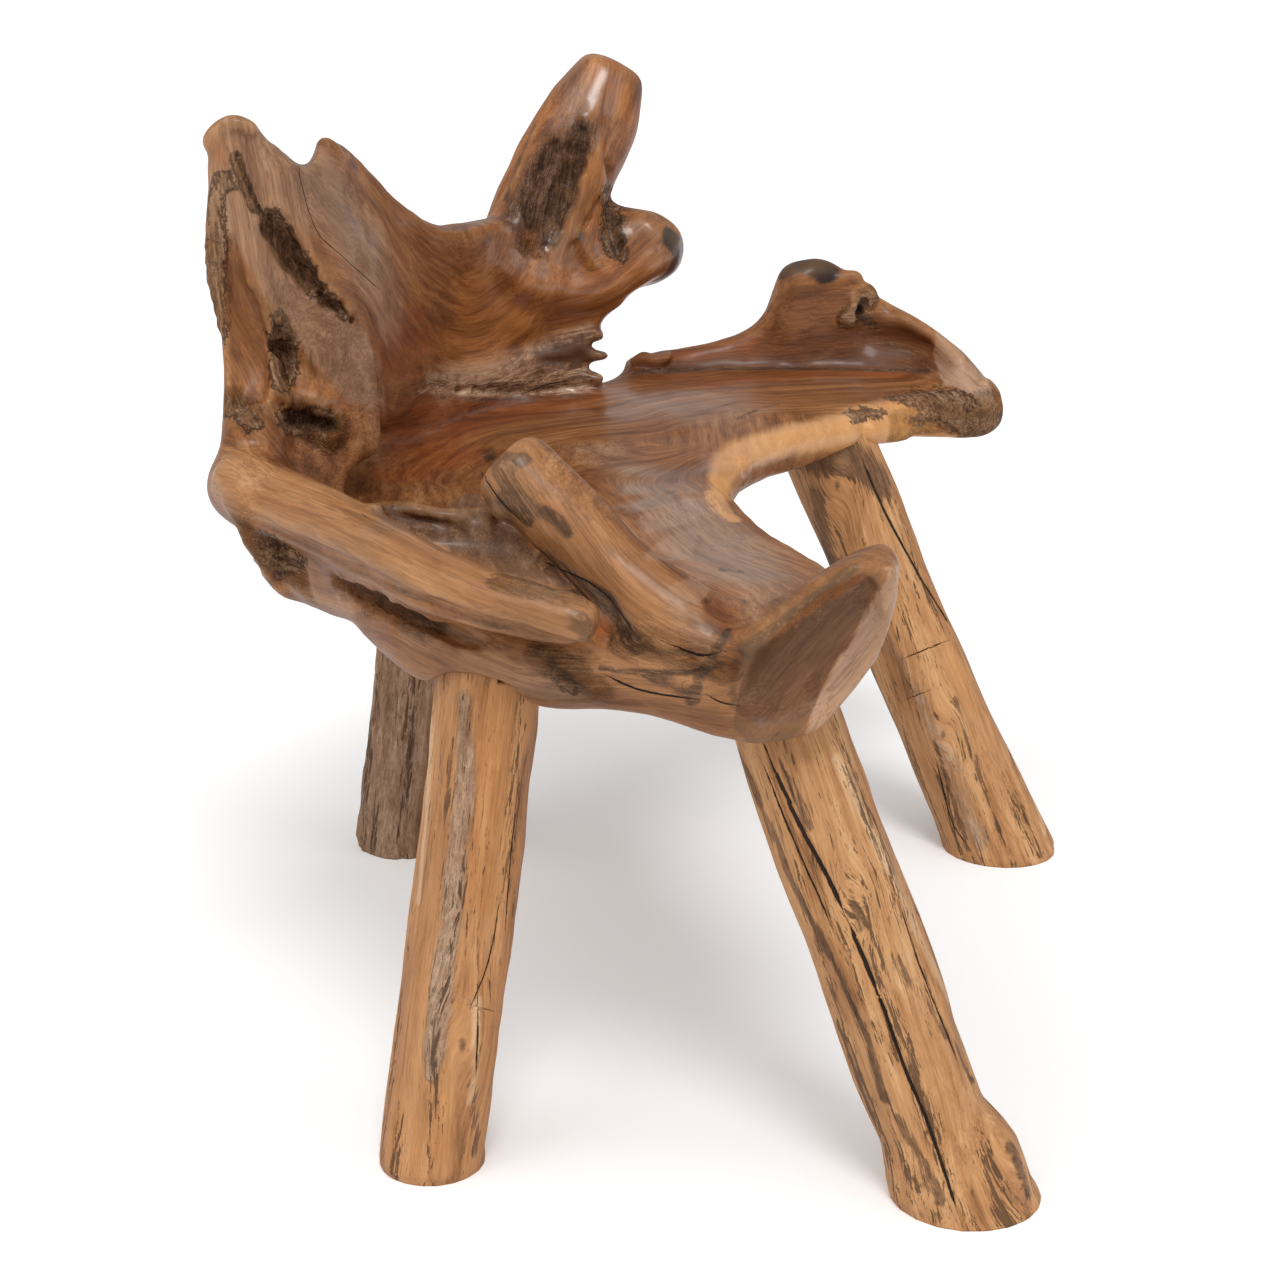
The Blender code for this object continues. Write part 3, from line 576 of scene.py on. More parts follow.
# Trims of the outline, cut or grown as bars along the line of sight: an anchor on the wood that tells how far
# away they lie, half their length in millimetres, and stops (across, down, radius) in pixels and millimetres
TRIMS_GROWN = (
    ((232, 150), 8, ((211, 143, 7), (218, 133, 7), (229, 125, 7), (240, 123, 6), (252, 130, 6))),
    ((315, 160), 6, ((320, 146, 5), (327, 144, 5), (336, 152, 6))),
    ((650, 372), 8, ((627, 365, 2), (634, 361, 4), (643, 356, 5), (655, 362, 6), (668, 356, 6))),
    ((575, 345), 12, ((580, 337, 7), (592, 336, 4), (598, 337, 2))),
    ((575, 345), 12, ((582, 354, 7), (596, 355, 4), (606, 355, 2))),
    ((575, 345), 12, ((580, 377, 7), (592, 378, 4), (601, 379, 2))),
    ((850, 300), 8, ((838, 282, 8), (852, 276, 5), (858, 280, 5))),
    ((862, 305), 8, ((862, 294, 6), (870, 293, 5), (868, 302, 5), (882, 309, 5))),
    ((985, 395), 8, ((984, 384, 7), (990, 398, 9), (986, 416, 8), (973, 427, 8))),
    ((285, 575), 14, ((262, 531, 8), (268, 541, 8), (275, 551, 8), (284, 561, 8))),
    ((285, 575), 14,
     ((250, 528, 8), (257, 540, 8), (267, 556, 8), (278, 574, 9), (294, 587, 9), (318, 587, 8))),
    ((235, 260), 6, ((216, 200, 6), (213, 230, 6), (213, 260, 6), (216, 292, 6), (222, 325, 5))),
)
TRIMS_CUT = (
    ((575, 345), 90, ((662, 306, 12), (640, 314, 14), (618, 322, 11), (606, 327, 5))),
    ((575, 345), 90, ((593, 345, 2), (603, 346, 4), (618, 345, 8))),
    ((575, 345), 90, ((592, 366, 3), (603, 367, 5), (622, 366, 8))),
    ((268, 160), 260,
     ((313, 137, 3), (308, 148, 5), (303, 158, 5), (297, 148, 9), (289, 136, 11), (279, 125, 11),
      (268, 113, 10))),
    ((862, 300), 30, ((867, 277, 2), (872, 276, 4), (884, 290, 5))),
    ((650, 372), 30, ((628, 356, 3), (634, 349, 5), (640, 343, 6))),
)


def hollow_out(root, tree):
    """Grow the root's sheets, trims and swellings, and carve its hollows and trims, each along its stops."""
    for radius, first, last in SHEETS:
        first, last = (seen(tree, through(line, SHEET_STOPS))[0] for line in (first, last))
        inward = SHEET_INWARD * radius / MILLI
        for share in np.linspace(0, 1, SHEET_BARS):
            root.add((1 - share) * first + share * last + inward, radius / MILLI, SHEET_BLEND)
    root.sand(SHEET_SANDING)
    for anchor, reach, stops in TRIMS_GROWN:
        for place, sightline, radius in trim_bars(tree, anchor, stops):
            ray = sightline / MILLI
            start = place + ray * (radius + TRIM_SETBACK)
            root.add([start, start + 2 * ray * reach], radius / MILLI, TRIM_BLEND)
    for stops in SWELLINGS.values():
        root.add(*bar_stops(tree, stops), SWELLING_BLEND)
    for rough, stops in HOLLOWS.values():
        root.cut(*bar_stops(tree, stops), CUT_BLEND, rough / MILLI)
    for anchor, reach, stops in TRIMS_CUT:
        for place, sightline, radius in trim_bars(tree, anchor, stops):
            ray = sightline * reach / MILLI
            root.cut([place - ray, place + ray], radius / MILLI, CUT_BLEND)


def trim_bars(tree, anchor, stops):
    """A trim's bars: a place of each level with the wood at the anchor, its line of sight and its radius."""
    stops = through(stops, TRIM_STOPS)
    for place, radius in zip(level_with(tree, anchor, stops[:, :2]), stops[:, 2]):
        yield place, (place - CAMERA_PLACE) / np.linalg.norm(place - CAMERA_PLACE), radius


def bar_stops(tree, stops):
    """A bar's middle places and radii, smooth through stops given as pixels and millimetres."""
    stops = spaced(stops, BAR_SPACING)
    places, outward = seen(tree, stops[:, :2])
    stops = stops[:len(places)]
    return places - outward * stops[:, 3:] / MILLI, np.maximum(stops[:, 2], LEAST_RADIUS) / MILLI


def ripples(points):
    """How far the tools and the growth of the wood lift the skin: slow waves and finer ones."""
    return sum(fractal(points, cell, seed, octaves) * height for cell, seed, octaves, height in RIPPLES)


def bark(tree):
    """The lift of the skin where it is rough: ridged noise, strongest along the strokes of the rough tint."""
    def lift(points):
        bare = np.ones(len(points))
        for reach, strength, stops in TINTS["rough"]:
            bare *= 1 - strength * bell(points, trail(tree, stops, TINT_SPACING)[0], reach / MILLI)
        ridges = 1 - 2 * np.abs(fractal(points, *BARK_RIDGES))
        return (1 - bare) * ridges * BARK_HEIGHT
    return lift


# ---- Fields: what the finishes read from the skin

# A strand's reach over the wood beside it, and a direction that no strand runs along
STRAND_REACH = 0.035
OFF_GRAIN = (0.31, 0.17, 0.93)

# How far lanes blend where their strands are as near, and what sets the grain of lanes and strands apart
LANE_BLEND = 0.012
LANE_SHIFT = 3.7
STRAND_SHIFT = 1.9

# The strand of the underside, which the camera doesn't see: its lane, its stops and its place under the seat
UNDER_LANE = 3
UNDER_STOPS = 12
UNDER_ENDS = (-0.5, 0.5)
UNDER_ACROSS = -0.06
UNDER_RISE = 0.36

# Cracks: how far away one is looked for and told, the half width that stands for none, how deep the skin may
# lie from its line, how far from its tip it starts and is at its full width, and the least cosine of the turn
# of the skin from it. Their fields are in centimetres
CRACK_REACH = 0.05
CRACK_FAR = 0.03
NO_CRACK = -0.01
CRACK_DEPTH = 0.012
CRACK_TIP = (0.004, 0.018)
CRACK_FACING = 0.1
CENTI = 100

# How far a tint wraps round an edge: the cosines of its skin's turn at which it starts and is full
TINT_FACING = (-0.3, 0.3)

# Patches: the unit of their fields in pixels, the most that is told, the least where it is asked whether the
# camera sees the wood, and how far behind other wood it counts as hidden
PATCH_UNIT = 10
PATCH_LIMIT = 2
PATCH_ASKED = -1.9
PATCH_HIDDEN = 0.015


def soft_pick(distances, sharpness):
    """Shares that add up to 1, the most to the shortest distance."""
    shares = np.exp(-(distances - distances.min(axis=0)) / sharpness)
    return shares / shares.sum(axis=0)


def strand_places(points, path):
    """Where points lie in the wood's own measure, and how far they are from the strand.

    The measure is the length along the strand and two distances across it. Each is an average over the
    strand's stops, weighted by the bell curve of their distance from the point.
    """
    along = np.gradient(path, axis=0)
    along /= np.linalg.norm(along, axis=1, keepdims=True)
    lengths = np.concatenate([[0], np.cumsum(np.linalg.norm(np.diff(path, axis=0), axis=1))])
    side = np.cross(along, OFF_GRAIN)
    side /= np.linalg.norm(side, axis=1, keepdims=True)
    rise = np.cross(side, along)
    offset = points[:, None] - path
    squares = (offset ** 2).sum(axis=2)
    shares = np.exp(-(squares - squares.min(axis=1, keepdims=True)) / (2 * STRAND_REACH ** 2))
    shares /= shares.sum(axis=1, keepdims=True)
    place = [(offset * axis).sum(axis=2) + start for axis, start in ((along, lengths), (side, 0), (rise, 0))]
    return np.stack([(shares * part).sum(axis=1) for part in place], -1), np.sqrt(squares.min(axis=1))


def grain_fields(tree, points):
    """For each lane, the places of points in the measure of its nearest strand, and that lane's share."""
    found = [(lane, *strand_places(points, trail(tree, stops, GRAIN_SPACING)[0])) for lane, stops in STRANDS]
    under = np.column_stack([np.linspace(*UNDER_ENDS, UNDER_STOPS), np.full(UNDER_STOPS, UNDER_ACROSS),
                             np.full(UNDER_STOPS, UNDER_RISE)])
    found.append((UNDER_LANE, *strand_places(points, under)))
    shares = soft_pick(np.array([distance for _, _, distance in found]), LANE_BLEND)
    fields = {}
    for lane in range(LANES):
        mine = [n for n, strand in enumerate(found) if strand[0] == lane]
        best = shares[mine].argmax(axis=0)
        places = np.stack([found[n][1] for n in mine])[best, np.arange(len(points))]
        fields[f"grain_{lane}"] = places + LANE_SHIFT * lane + best[:, None] * STRAND_SHIFT
        fields[f"lane_{lane}"] = shares[mine].max(axis=0)
    return fields


def crack_fields(tree, points, normals, cracks):
    """The distance across the nearest crack, signed by its side, and its half width, in centimetres.

    The half width is below zero where there is no crack and past its ends.
    """
    nearest = np.full(len(points), CRACK_FAR)
    across = np.full(len(points), CRACK_FAR)
    width = np.full(len(points), NO_CRACK)
    for half, stops in cracks:
        path, outward = trail(tree, stops, CRACK_SPACING)
        if len(path) < 2:
            continue
        half = half / MILLI
        close = np.nonzero(np.linalg.norm(points[:, None] - path[::3], axis=2).min(axis=1) < CRACK_REACH)[0]
        for start, end, out in zip(path, path[1:], outward):
            offset = points[close] - start
            flat = offset - (offset @ out)[:, None] * out
            step = end - start
            share = flat @ step / max(np.linalg.norm(step), 1e-6) ** 2
            gap = np.linalg.norm(flat - np.clip(share, 0, 1)[:, None] * step, axis=1)
            side = np.sign(np.cross(step, out) @ flat.T)
            facing = (normals[close] @ out > CRACK_FACING) & (np.abs(offset @ out) < CRACK_DEPTH)
            closer = (gap < nearest[close]) & facing
            chosen = close[closer]
            nearest[chosen] = gap[closer]
            across[chosen] = (gap * side)[closer]
            width[chosen] = half
        tips = [np.linalg.norm(points[close] - tip, axis=1) for tip in (path[0], path[-1])]
        for gap in tips:
            thin = np.minimum(width[close], half * smooth_step(*CRACK_TIP, gap))
            width[close] = np.where(gap < CRACK_TIP[1], thin, width[close])
        beyond = (nearest[close] > 0) & (tips[0] <= nearest[close] + 1e-6)
        beyond |= tips[1] <= nearest[close] + 1e-6
        width[close[beyond]] = NO_CRACK
    return {"crack": across * CENTI, "crack_width": width * CENTI}


def tint_field(tree, points, normals, strokes):
    """How strongly a tint covers each point: strokes fade by the bell curve of the distance from them."""
    bare = np.ones(len(points))
    for reach, strength, stops in strokes:
        path, outward = trail(tree, stops, TINT_SPACING)
        if len(path) == 0:
            continue
        facing = smooth_step(*TINT_FACING, normals @ outward.mean(axis=0))
        bare *= 1 - strength * facing * bell(points, path, reach / MILLI)
    return 1 - bare


def pixels_of(points):
    """Where the camera sees points: across and down in pixels."""
    offset = points - CAMERA_PLACE
    ahead = offset[:, 0] * np.cos(CAMERA_TILT) - offset[:, 2] * np.sin(CAMERA_TILT)
    rise = offset[:, 0] * np.sin(CAMERA_TILT) + offset[:, 2] * np.cos(CAMERA_TILT)
    reach = CAMERA_SENSOR / CAMERA_LENS / PHOTO_HEIGHT * ahead
    return np.column_stack([PHOTO_WIDTH / 2 - offset[:, 1] / reach, PHOTO_HEIGHT / 2 - rise / reach])


def inside_distance(pixels, outline):
    """The distance of pixels from an outline, above zero inside it."""
    nearest = np.full(len(pixels), np.inf)
    inside = np.zeros(len(pixels), bool)
    for start, end in zip(outline, np.roll(outline, -1, axis=0)):
        along = end - start
        share = np.clip((pixels - start) @ along / (along @ along), 0, 1)
        nearest = np.minimum(nearest, np.linalg.norm(pixels - start - share[:, None] * along, axis=1))
        if start[1] != end[1]:
            spans = (pixels[:, 1] >= min(start[1], end[1])) & (pixels[:, 1] < max(start[1], end[1]))
            inside ^= spans & (start[0] + (pixels[:, 1] - start[1]) * along[0] / along[1] > pixels[:, 0])
    return np.where(inside, nearest, -nearest)


def patch_fields(skin, places, patches):
    """How far inside the patches' outlines each place lies, in tens of pixels, where the camera sees it."""
    pixels = pixels_of(places)
    margin = PATCH_LIMIT * PATCH_UNIT
    eye = Vector(CAMERA_PLACE)
    fields = {}
    for name, outlines in patches.items():
        field = np.full(len(places), -float(PATCH_LIMIT))
        for outline in outlines:
            outline = np.array(outline, float)
            box = (pixels > outline.min(axis=0) - margin) & (pixels < outline.max(axis=0) + margin)
            near = np.nonzero(box.all(axis=1))[0]
            inside = np.clip(inside_distance(pixels[near], outline) / PATCH_UNIT, -PATCH_LIMIT, PATCH_LIMIT)
            for n in np.nonzero(inside > PATCH_ASKED)[0]:
                place = Vector(places[near[n]])
                hit = skin.ray_cast(eye, (place - eye).normalized())
                if hit[0] is not None and hit[3] < (place - eye).length - PATCH_HIDDEN:
                    inside[n] = -PATCH_LIMIT
            field[near] = np.maximum(field[near], inside)
        fields[f"patch_{name}"] = field
    return fields


# ---- Pieces

def make_piece(name, places, faces, fields, finish, node, flat=0):
    """A closed mesh with its fields, in place of a CAD node, smooth but for its last faces, flat of them."""
    mesh = bpy.data.meshes.new(name)
    mesh.from_pydata(places.tolist(), [], faces)
    mesh.update()
    mesh.polygons.foreach_set("use_smooth", np.arange(len(faces)) < len(faces) - flat)
    add_fields(mesh, fields)
    mesh.materials.append(finish.material)
    piece = bpy.data.objects.new(name, mesh)
    bpy.context.scene.collection.objects.link(piece)
    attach(piece, "root")
    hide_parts(node)


def add_fields(mesh, fields):
    """Store fields on the corners of a mesh: a number or a vector at each."""
    for name, values in fields.items():
        kind, key = ("FLOAT", "value") if values.ndim == 1 else ("FLOAT_VECTOR", "vector")
        layer = mesh.attributes.new(name, kind, "POINT")
        layer.data.foreach_set(key, np.ascontiguousarray(values, np.float32).ravel())


def thin_out(places, faces, triangles):
    """Fewer faces, with the flattest places thinned first, down to a number of triangles."""
    mesh = bpy.data.meshes.new("thinning")
    mesh.from_pydata(places.tolist(), [], faces.tolist())
    mesh.update()
    body = bpy.data.objects.new("thinning", mesh)
    bpy.context.scene.collection.objects.link(body)
    thinner = body.modifiers.new("Thinning", "DECIMATE")
    thinner.ratio = triangles / (2 * len(faces))
    thinned = body.evaluated_get(bpy.context.evaluated_depsgraph_get()).to_mesh()
    places, corners = mesh_arrays(thinned)
    normals = np.empty(len(thinned.vertices) * 3, np.float32)
    thinned.vertices.foreach_get("normal", normals)
    places, corners = places.copy().astype(float), corners.copy()
    bpy.data.objects.remove(body)
    bpy.data.meshes.remove(mesh)
    return places, corners, normals.reshape(-1, 3).astype(float)


def at_points(grid, low, step, points):
    """Values of a grid at points between its own, blended evenly along each side of their cube."""
    place = points / step - low
    corner = np.clip(np.floor(place).astype(int), 0, np.array(grid.shape) - 2)
    share = np.clip(place - corner, 0, 1)
    total = np.zeros(len(points))
    for shift in np.ndindex(2, 2, 2):
        side = np.where(shift, share, 1 - share).prod(axis=1)
        total += side * grid[tuple((corner + shift).T)]
    return total


def make_root(finish):
    """The carved root: its CAD body sanded, grown, hollowed, rippled and thinned out, with its fields.

    The field bend is how far the skin stands out of a far smoother one, in millimetres: creases lie below 0.
    """
    tree = touch_tree("seat_root")
    root = Carving("seat_root", CARVING_STEP, CARVING_REACH)
    root.sand(SOLID_SANDING)
    hollow_out(root, tree)
    root.sand(CARVED_SANDING)
    root.shift(ripples)
    root.shift(bark(tree))
    places, faces, normals = thin_out(*root.skin(), ROOT_TRIANGLES)
    skin = BVHTree.FromPolygons(places.tolist(), faces.tolist())
    carved = at_points(root.depth, root.low, root.step, places)
    root.sand(BEND_SANDING)
    fields = {"bend": (at_points(root.depth, root.low, root.step, places) - carved) * MILLI}
    fields.update(grain_fields(tree, places))
    fields.update(crack_fields(skin, places, normals, CRACKS))
    for tint, strokes in TINTS.items():
        fields[tint] = tint_field(skin, places, normals, strokes)
    fields.update(patch_fields(skin, places, PATCHES))
    make_piece("seat_root_carved", places, faces.tolist(), fields, finish, "seat_root")


# ---- Finishes

class Value:
    """A socket of a finish. Sums, differences and products of values add Math nodes."""

    def __init__(self, finish, socket):
        self.finish = finish
        self.socket = socket

    def math(self, operation, first, second):
        return self.finish.node("ShaderNodeMath", {"operation": operation}, {0: first, 1: second})

    def __add__(self, other):
        return self.math("ADD", self, other)

    def __radd__(self, other):
        return self.math("ADD", other, self)

    def __sub__(self, other):
        return self.math("SUBTRACT", self, other)

    def __rsub__(self, other):
        return self.math("SUBTRACT", other, self)

    def __mul__(self, other):
        return self.math("MULTIPLY", self, other)

    def __rmul__(self, other):
        return self.math("MULTIPLY", other, self)

    def __abs__(self):
        return self.math("ABSOLUTE", self, 0)

    def most(self, other):
        return self.math("MAXIMUM", self, other)

    def swing(self, amount):
        """Noise about 0.5 made noise about 0, times an amount."""
        return (self - 0.5) * amount


class Finish:
    """A material under way: one method adds its nodes, and its surface is a Principled shader."""

    def __init__(self, name):
        self.material = bpy.data.materials.new(name)
        self.material.use_nodes = True
        self.nodes = self.material.node_tree.nodes
        self.links = self.material.node_tree.links
        self.surface = self.nodes["Principled BSDF"]

    def node(self, kind, settings, inputs, output=0):
        """Add a node: its settings first, then its sockets' values or links. Gives one of its outputs."""
        node = self.nodes.new(kind)
        for name, setting in settings.items():
            if name == "stops":
                self.set_stops(node.color_ramp, setting)
            else:
                setattr(node, name, setting)
        for socket, value in inputs.items():
            if isinstance(value, Value):
                self.links.new(value.socket, node.inputs[socket])
            else:
                node.inputs[socket].default_value = value
        return Value(self, node.outputs[output])

    def set_stops(self, ramp, stops):
        """Give a colour ramp its stops: place and colour of each."""
        while len(ramp.elements) < len(stops):
            ramp.elements.new(0.5)
        for element, (place, colour) in zip(ramp.elements, stops):
            element.position = place
            element.color = (*colour, 1)

    def field(self, name):
        """A number stored on the corners of the piece."""
        return self.node("ShaderNodeAttribute", {"attribute_name": name}, {}, 2)

    def vector_field(self, name):
        """A vector stored on the corners of the piece."""
        return self.node("ShaderNodeAttribute", {"attribute_name": name}, {}, 1)

    def places(self):
        """The places of the surface, in metres."""
        return self.node("ShaderNodeTexCoord", {}, {}, 3)

    def stretch(self, vector, sizes):
        """A pattern's places divided by the size of its marks along each axis."""
        return self.node("ShaderNodeVectorMath", {"operation": "MULTIPLY"},
                         {0: vector, 1: [1 / size for size in sizes]})

    def noise(self, vector, sizes, detail=2.0, rough=0.5, warp=0.0):
        """Noise about 0.5 whose marks have these sizes."""
        return self.node("ShaderNodeTexNoise", {}, {
            "Vector": self.stretch(vector, sizes), "Scale": 1.0, "Detail": detail, "Roughness": rough,
            "Distortion": warp})

    def cracks(self, vector, sizes):
        """1 in the piece's cracks, where the wobbling distance across them is less than their half width."""
        wobble = self.noise(vector, sizes, 3.0, 0.7).swing(CRACK_WOBBLE)
        inside = self.field("crack_width") - abs(self.field("crack") + wobble)
        return self.step(inside, *CRACK_EDGE)

    def step(self, value, low, high):
        """0 below low, 1 above high, eased between."""
        return self.node("ShaderNodeMapRange", {"interpolation_type": "SMOOTHSTEP"},
                         {"Value": value, "From Min": low, "From Max": high})

    def ramp(self, value, stops):
        """A colour for each value, blended between the stops."""
        return self.node("ShaderNodeValToRGB", {"stops": stops}, {0: value})

    def mix(self, share, first, second, way="MIX"):
        """Two colours mixed."""
        first, second = [(*part, 1) if isinstance(part, tuple) else part for part in (first, second)]
        return self.node("ShaderNodeMix", {"data_type": "RGBA", "blend_type": way},
                         {0: share, 6: first, 7: second}, 2)

    def bump(self, height, reach, strength=1.0, normal=None):
        """The surface's direction, tipped by a height given in shares of the reach in metres."""
        inputs = {"Height": height, "Distance": reach, "Strength": strength}
        if normal:
            inputs["Normal"] = normal
        return self.node("ShaderNodeBump", {}, inputs)

    def join(self, colour, roughness, normal, **constants):
        """Join colour, roughness and normal to the shader, and set the constants on its other sockets."""
        for name, value in (("Base Color", colour), ("Roughness", roughness), ("Normal", normal)):
            self.links.new(value.socket, self.surface.inputs[name])
        for name, value in constants.items():
            self.surface.inputs[name.replace("_", " ")].default_value = value
        return self


# How much a crack's line wobbles, and where it starts and is full, in centimetres inside its half width
CRACK_WOBBLE = 0.16
CRACK_EDGE = (-0.05, 0.02)

# Tones of the wood, from dark grain to light
HEART_TONES = ((0.0, (0.052, 0.015, 0.004)), (0.3, (0.140, 0.045, 0.012)), (0.5, (0.238, 0.086, 0.025)),
               (0.7, (0.340, 0.142, 0.048)), (1.0, (0.480, 0.238, 0.097)))
RED_TONES = ((0.0, (0.070, 0.014, 0.002)), (0.4, (0.205, 0.050, 0.010)), (0.7, (0.330, 0.100, 0.023)),
             (1.0, (0.480, 0.185, 0.058)))
AMBER_TONES = ((0.0, (0.110, 0.028, 0.004)), (0.4, (0.285, 0.092, 0.020)), (0.7, (0.430, 0.165, 0.045)),
               (1.0, (0.560, 0.255, 0.085)))
TAN_TONES = ((0.0, (0.150, 0.058, 0.018)), (0.5, (0.350, 0.155, 0.059)), (1.0, (0.570, 0.300, 0.135)))
GREY_TONES = ((0.0, (0.105, 0.049, 0.024)), (0.4, (0.258, 0.131, 0.067)), (0.7, (0.380, 0.208, 0.115)),
              (1.0, (0.500, 0.305, 0.190)))
PALE_TONES = ((0.0, (0.250, 0.135, 0.078)), (0.5, (0.420, 0.250, 0.160)), (1.0, (0.540, 0.360, 0.245)))
SAP_TONES = ((0.0, (0.390, 0.140, 0.036)), (0.5, (0.620, 0.285, 0.088)), (1.0, (0.830, 0.460, 0.180)))
WALL_TONES = ((0.0, (0.045, 0.013, 0.004)), (0.5, (0.135, 0.045, 0.014)), (1.0, (0.280, 0.110, 0.040)))
WEB_TONES = ((0.0, (0.075, 0.022, 0.004)), (0.5, (0.210, 0.075, 0.020)), (1.0, (0.420, 0.185, 0.065)))
GUTTER_TONES = ((0.0, (0.050, 0.023, 0.011)), (0.5, (0.150, 0.074, 0.039)), (1.0, (0.360, 0.215, 0.130)))
DARK_TONES = ((0.0, (0.014, 0.006, 0.003)), (0.5, (0.078, 0.034, 0.014)), (1.0, (0.250, 0.125, 0.058)))
BARK_TONES = ((0.0, (0.045, 0.018, 0.007)), (0.5, (0.225, 0.112, 0.056)), (1.0, (0.460, 0.280, 0.165)))
BURR_TONES = ((0.0, (0.022, 0.009, 0.004)), (0.5, (0.125, 0.056, 0.031)), (1.0, (0.320, 0.180, 0.110)))
BURL_TONES = ((0.0, (0.110, 0.050, 0.025)), (0.5, (0.370, 0.200, 0.112)), (1.0, (0.620, 0.420, 0.280)))
SCOOP_TONES = ((0.0, (0.050, 0.019, 0.007)), (0.5, (0.135, 0.056, 0.023)), (1.0, (0.240, 0.115, 0.055)))

# Single colours: black ends, dark veins, worn edges, painted shade in creases, cracks, splits and specks
BLACK_WOOD = (0.012, 0.008, 0.006)
VEIN = (0.050, 0.018, 0.006)
WORN = (0.500, 0.260, 0.110)
# Painted shade: the colour that creases are darkened towards
CREASE_SHADE = (0.040, 0.015, 0.005)
CRACK = (0.016, 0.008, 0.005)
SPLIT = (0.040, 0.017, 0.008)
SPECK = (0.060, 0.022, 0.008)

# Patches of the root: tones, strength, and how soft their edge is in tens of pixels
ROOT_PATCHES = {
    "sap": (SAP_TONES, 0.95, 0.60),
    "wall": (WALL_TONES, 0.92, 0.50),
    "gutter": (GUTTER_TONES, 0.92, 0.30),
    "web": (WEB_TONES, 0.92, 0.50),
    "plank": (GREY_TONES, 0.90, 0.50),
    "spalt": (PALE_TONES, 0.45, 0.25),
    "pale": (PALE_TONES, 0.90, 0.25),
    "scoop": (SCOOP_TONES, 0.92, 0.15),
    "burr": (BURR_TONES, 0.95, 0.55),
    "burl": (BURL_TONES, 0.92, 0.40),
    "bark": (BARK_TONES, 0.92, 0.22),
}

# Tints that colour the root: tones, strength, and the field's values at which they start and are full
ROOT_TINTS = {
    "amber": (AMBER_TONES, 0.90, 0.20, 0.80),
    "tan": (TAN_TONES, 0.90, 0.25, 0.75),
    "red": (RED_TONES, 0.90, 0.20, 0.80),
    "grey": (GREY_TONES, 0.90, 0.20, 0.80),
    "sap": (SAP_TONES, 0.95, 0.30, 0.70),
}


def root_patterns(teak):
    """The root's noises: most are drawn out along its strands of grain, two aren't."""
    lanes = [(teak.vector_field(f"grain_{n}"), teak.field(f"lane_{n}")) for n in range(LANES)]
    places = teak.places()

    def along_grain(sizes, detail, rough, warp=0.0):
        return sum(teak.noise(grain, sizes, detail, rough, warp) * share for grain, share in lanes)

    return SimpleNamespace(
        figure=along_grain((0.35, 0.032, 0.032), 5.0, 0.55, 1.0),
        bands=along_grain((0.16, 0.0065, 0.0065), 4.0, 0.65, 0.3),
        fibres=along_grain((0.045, 0.0021, 0.0021), 3.0, 0.7),
        veins=along_grain((0.14, 0.0048, 0.0048), 2.0, 0.5, 0.4),
        shakes=along_grain((0.050, 0.0030, 0.0030), 5.0, 0.75, 0.6),
        rings=growth_rings(teak, lanes),
        blotches=teak.noise(places, (0.075, 0.075, 0.075), 6.0, 0.6, 0.8),
        crumbs=teak.noise(places, (0.007, 0.007, 0.007), 5.0, 0.7))


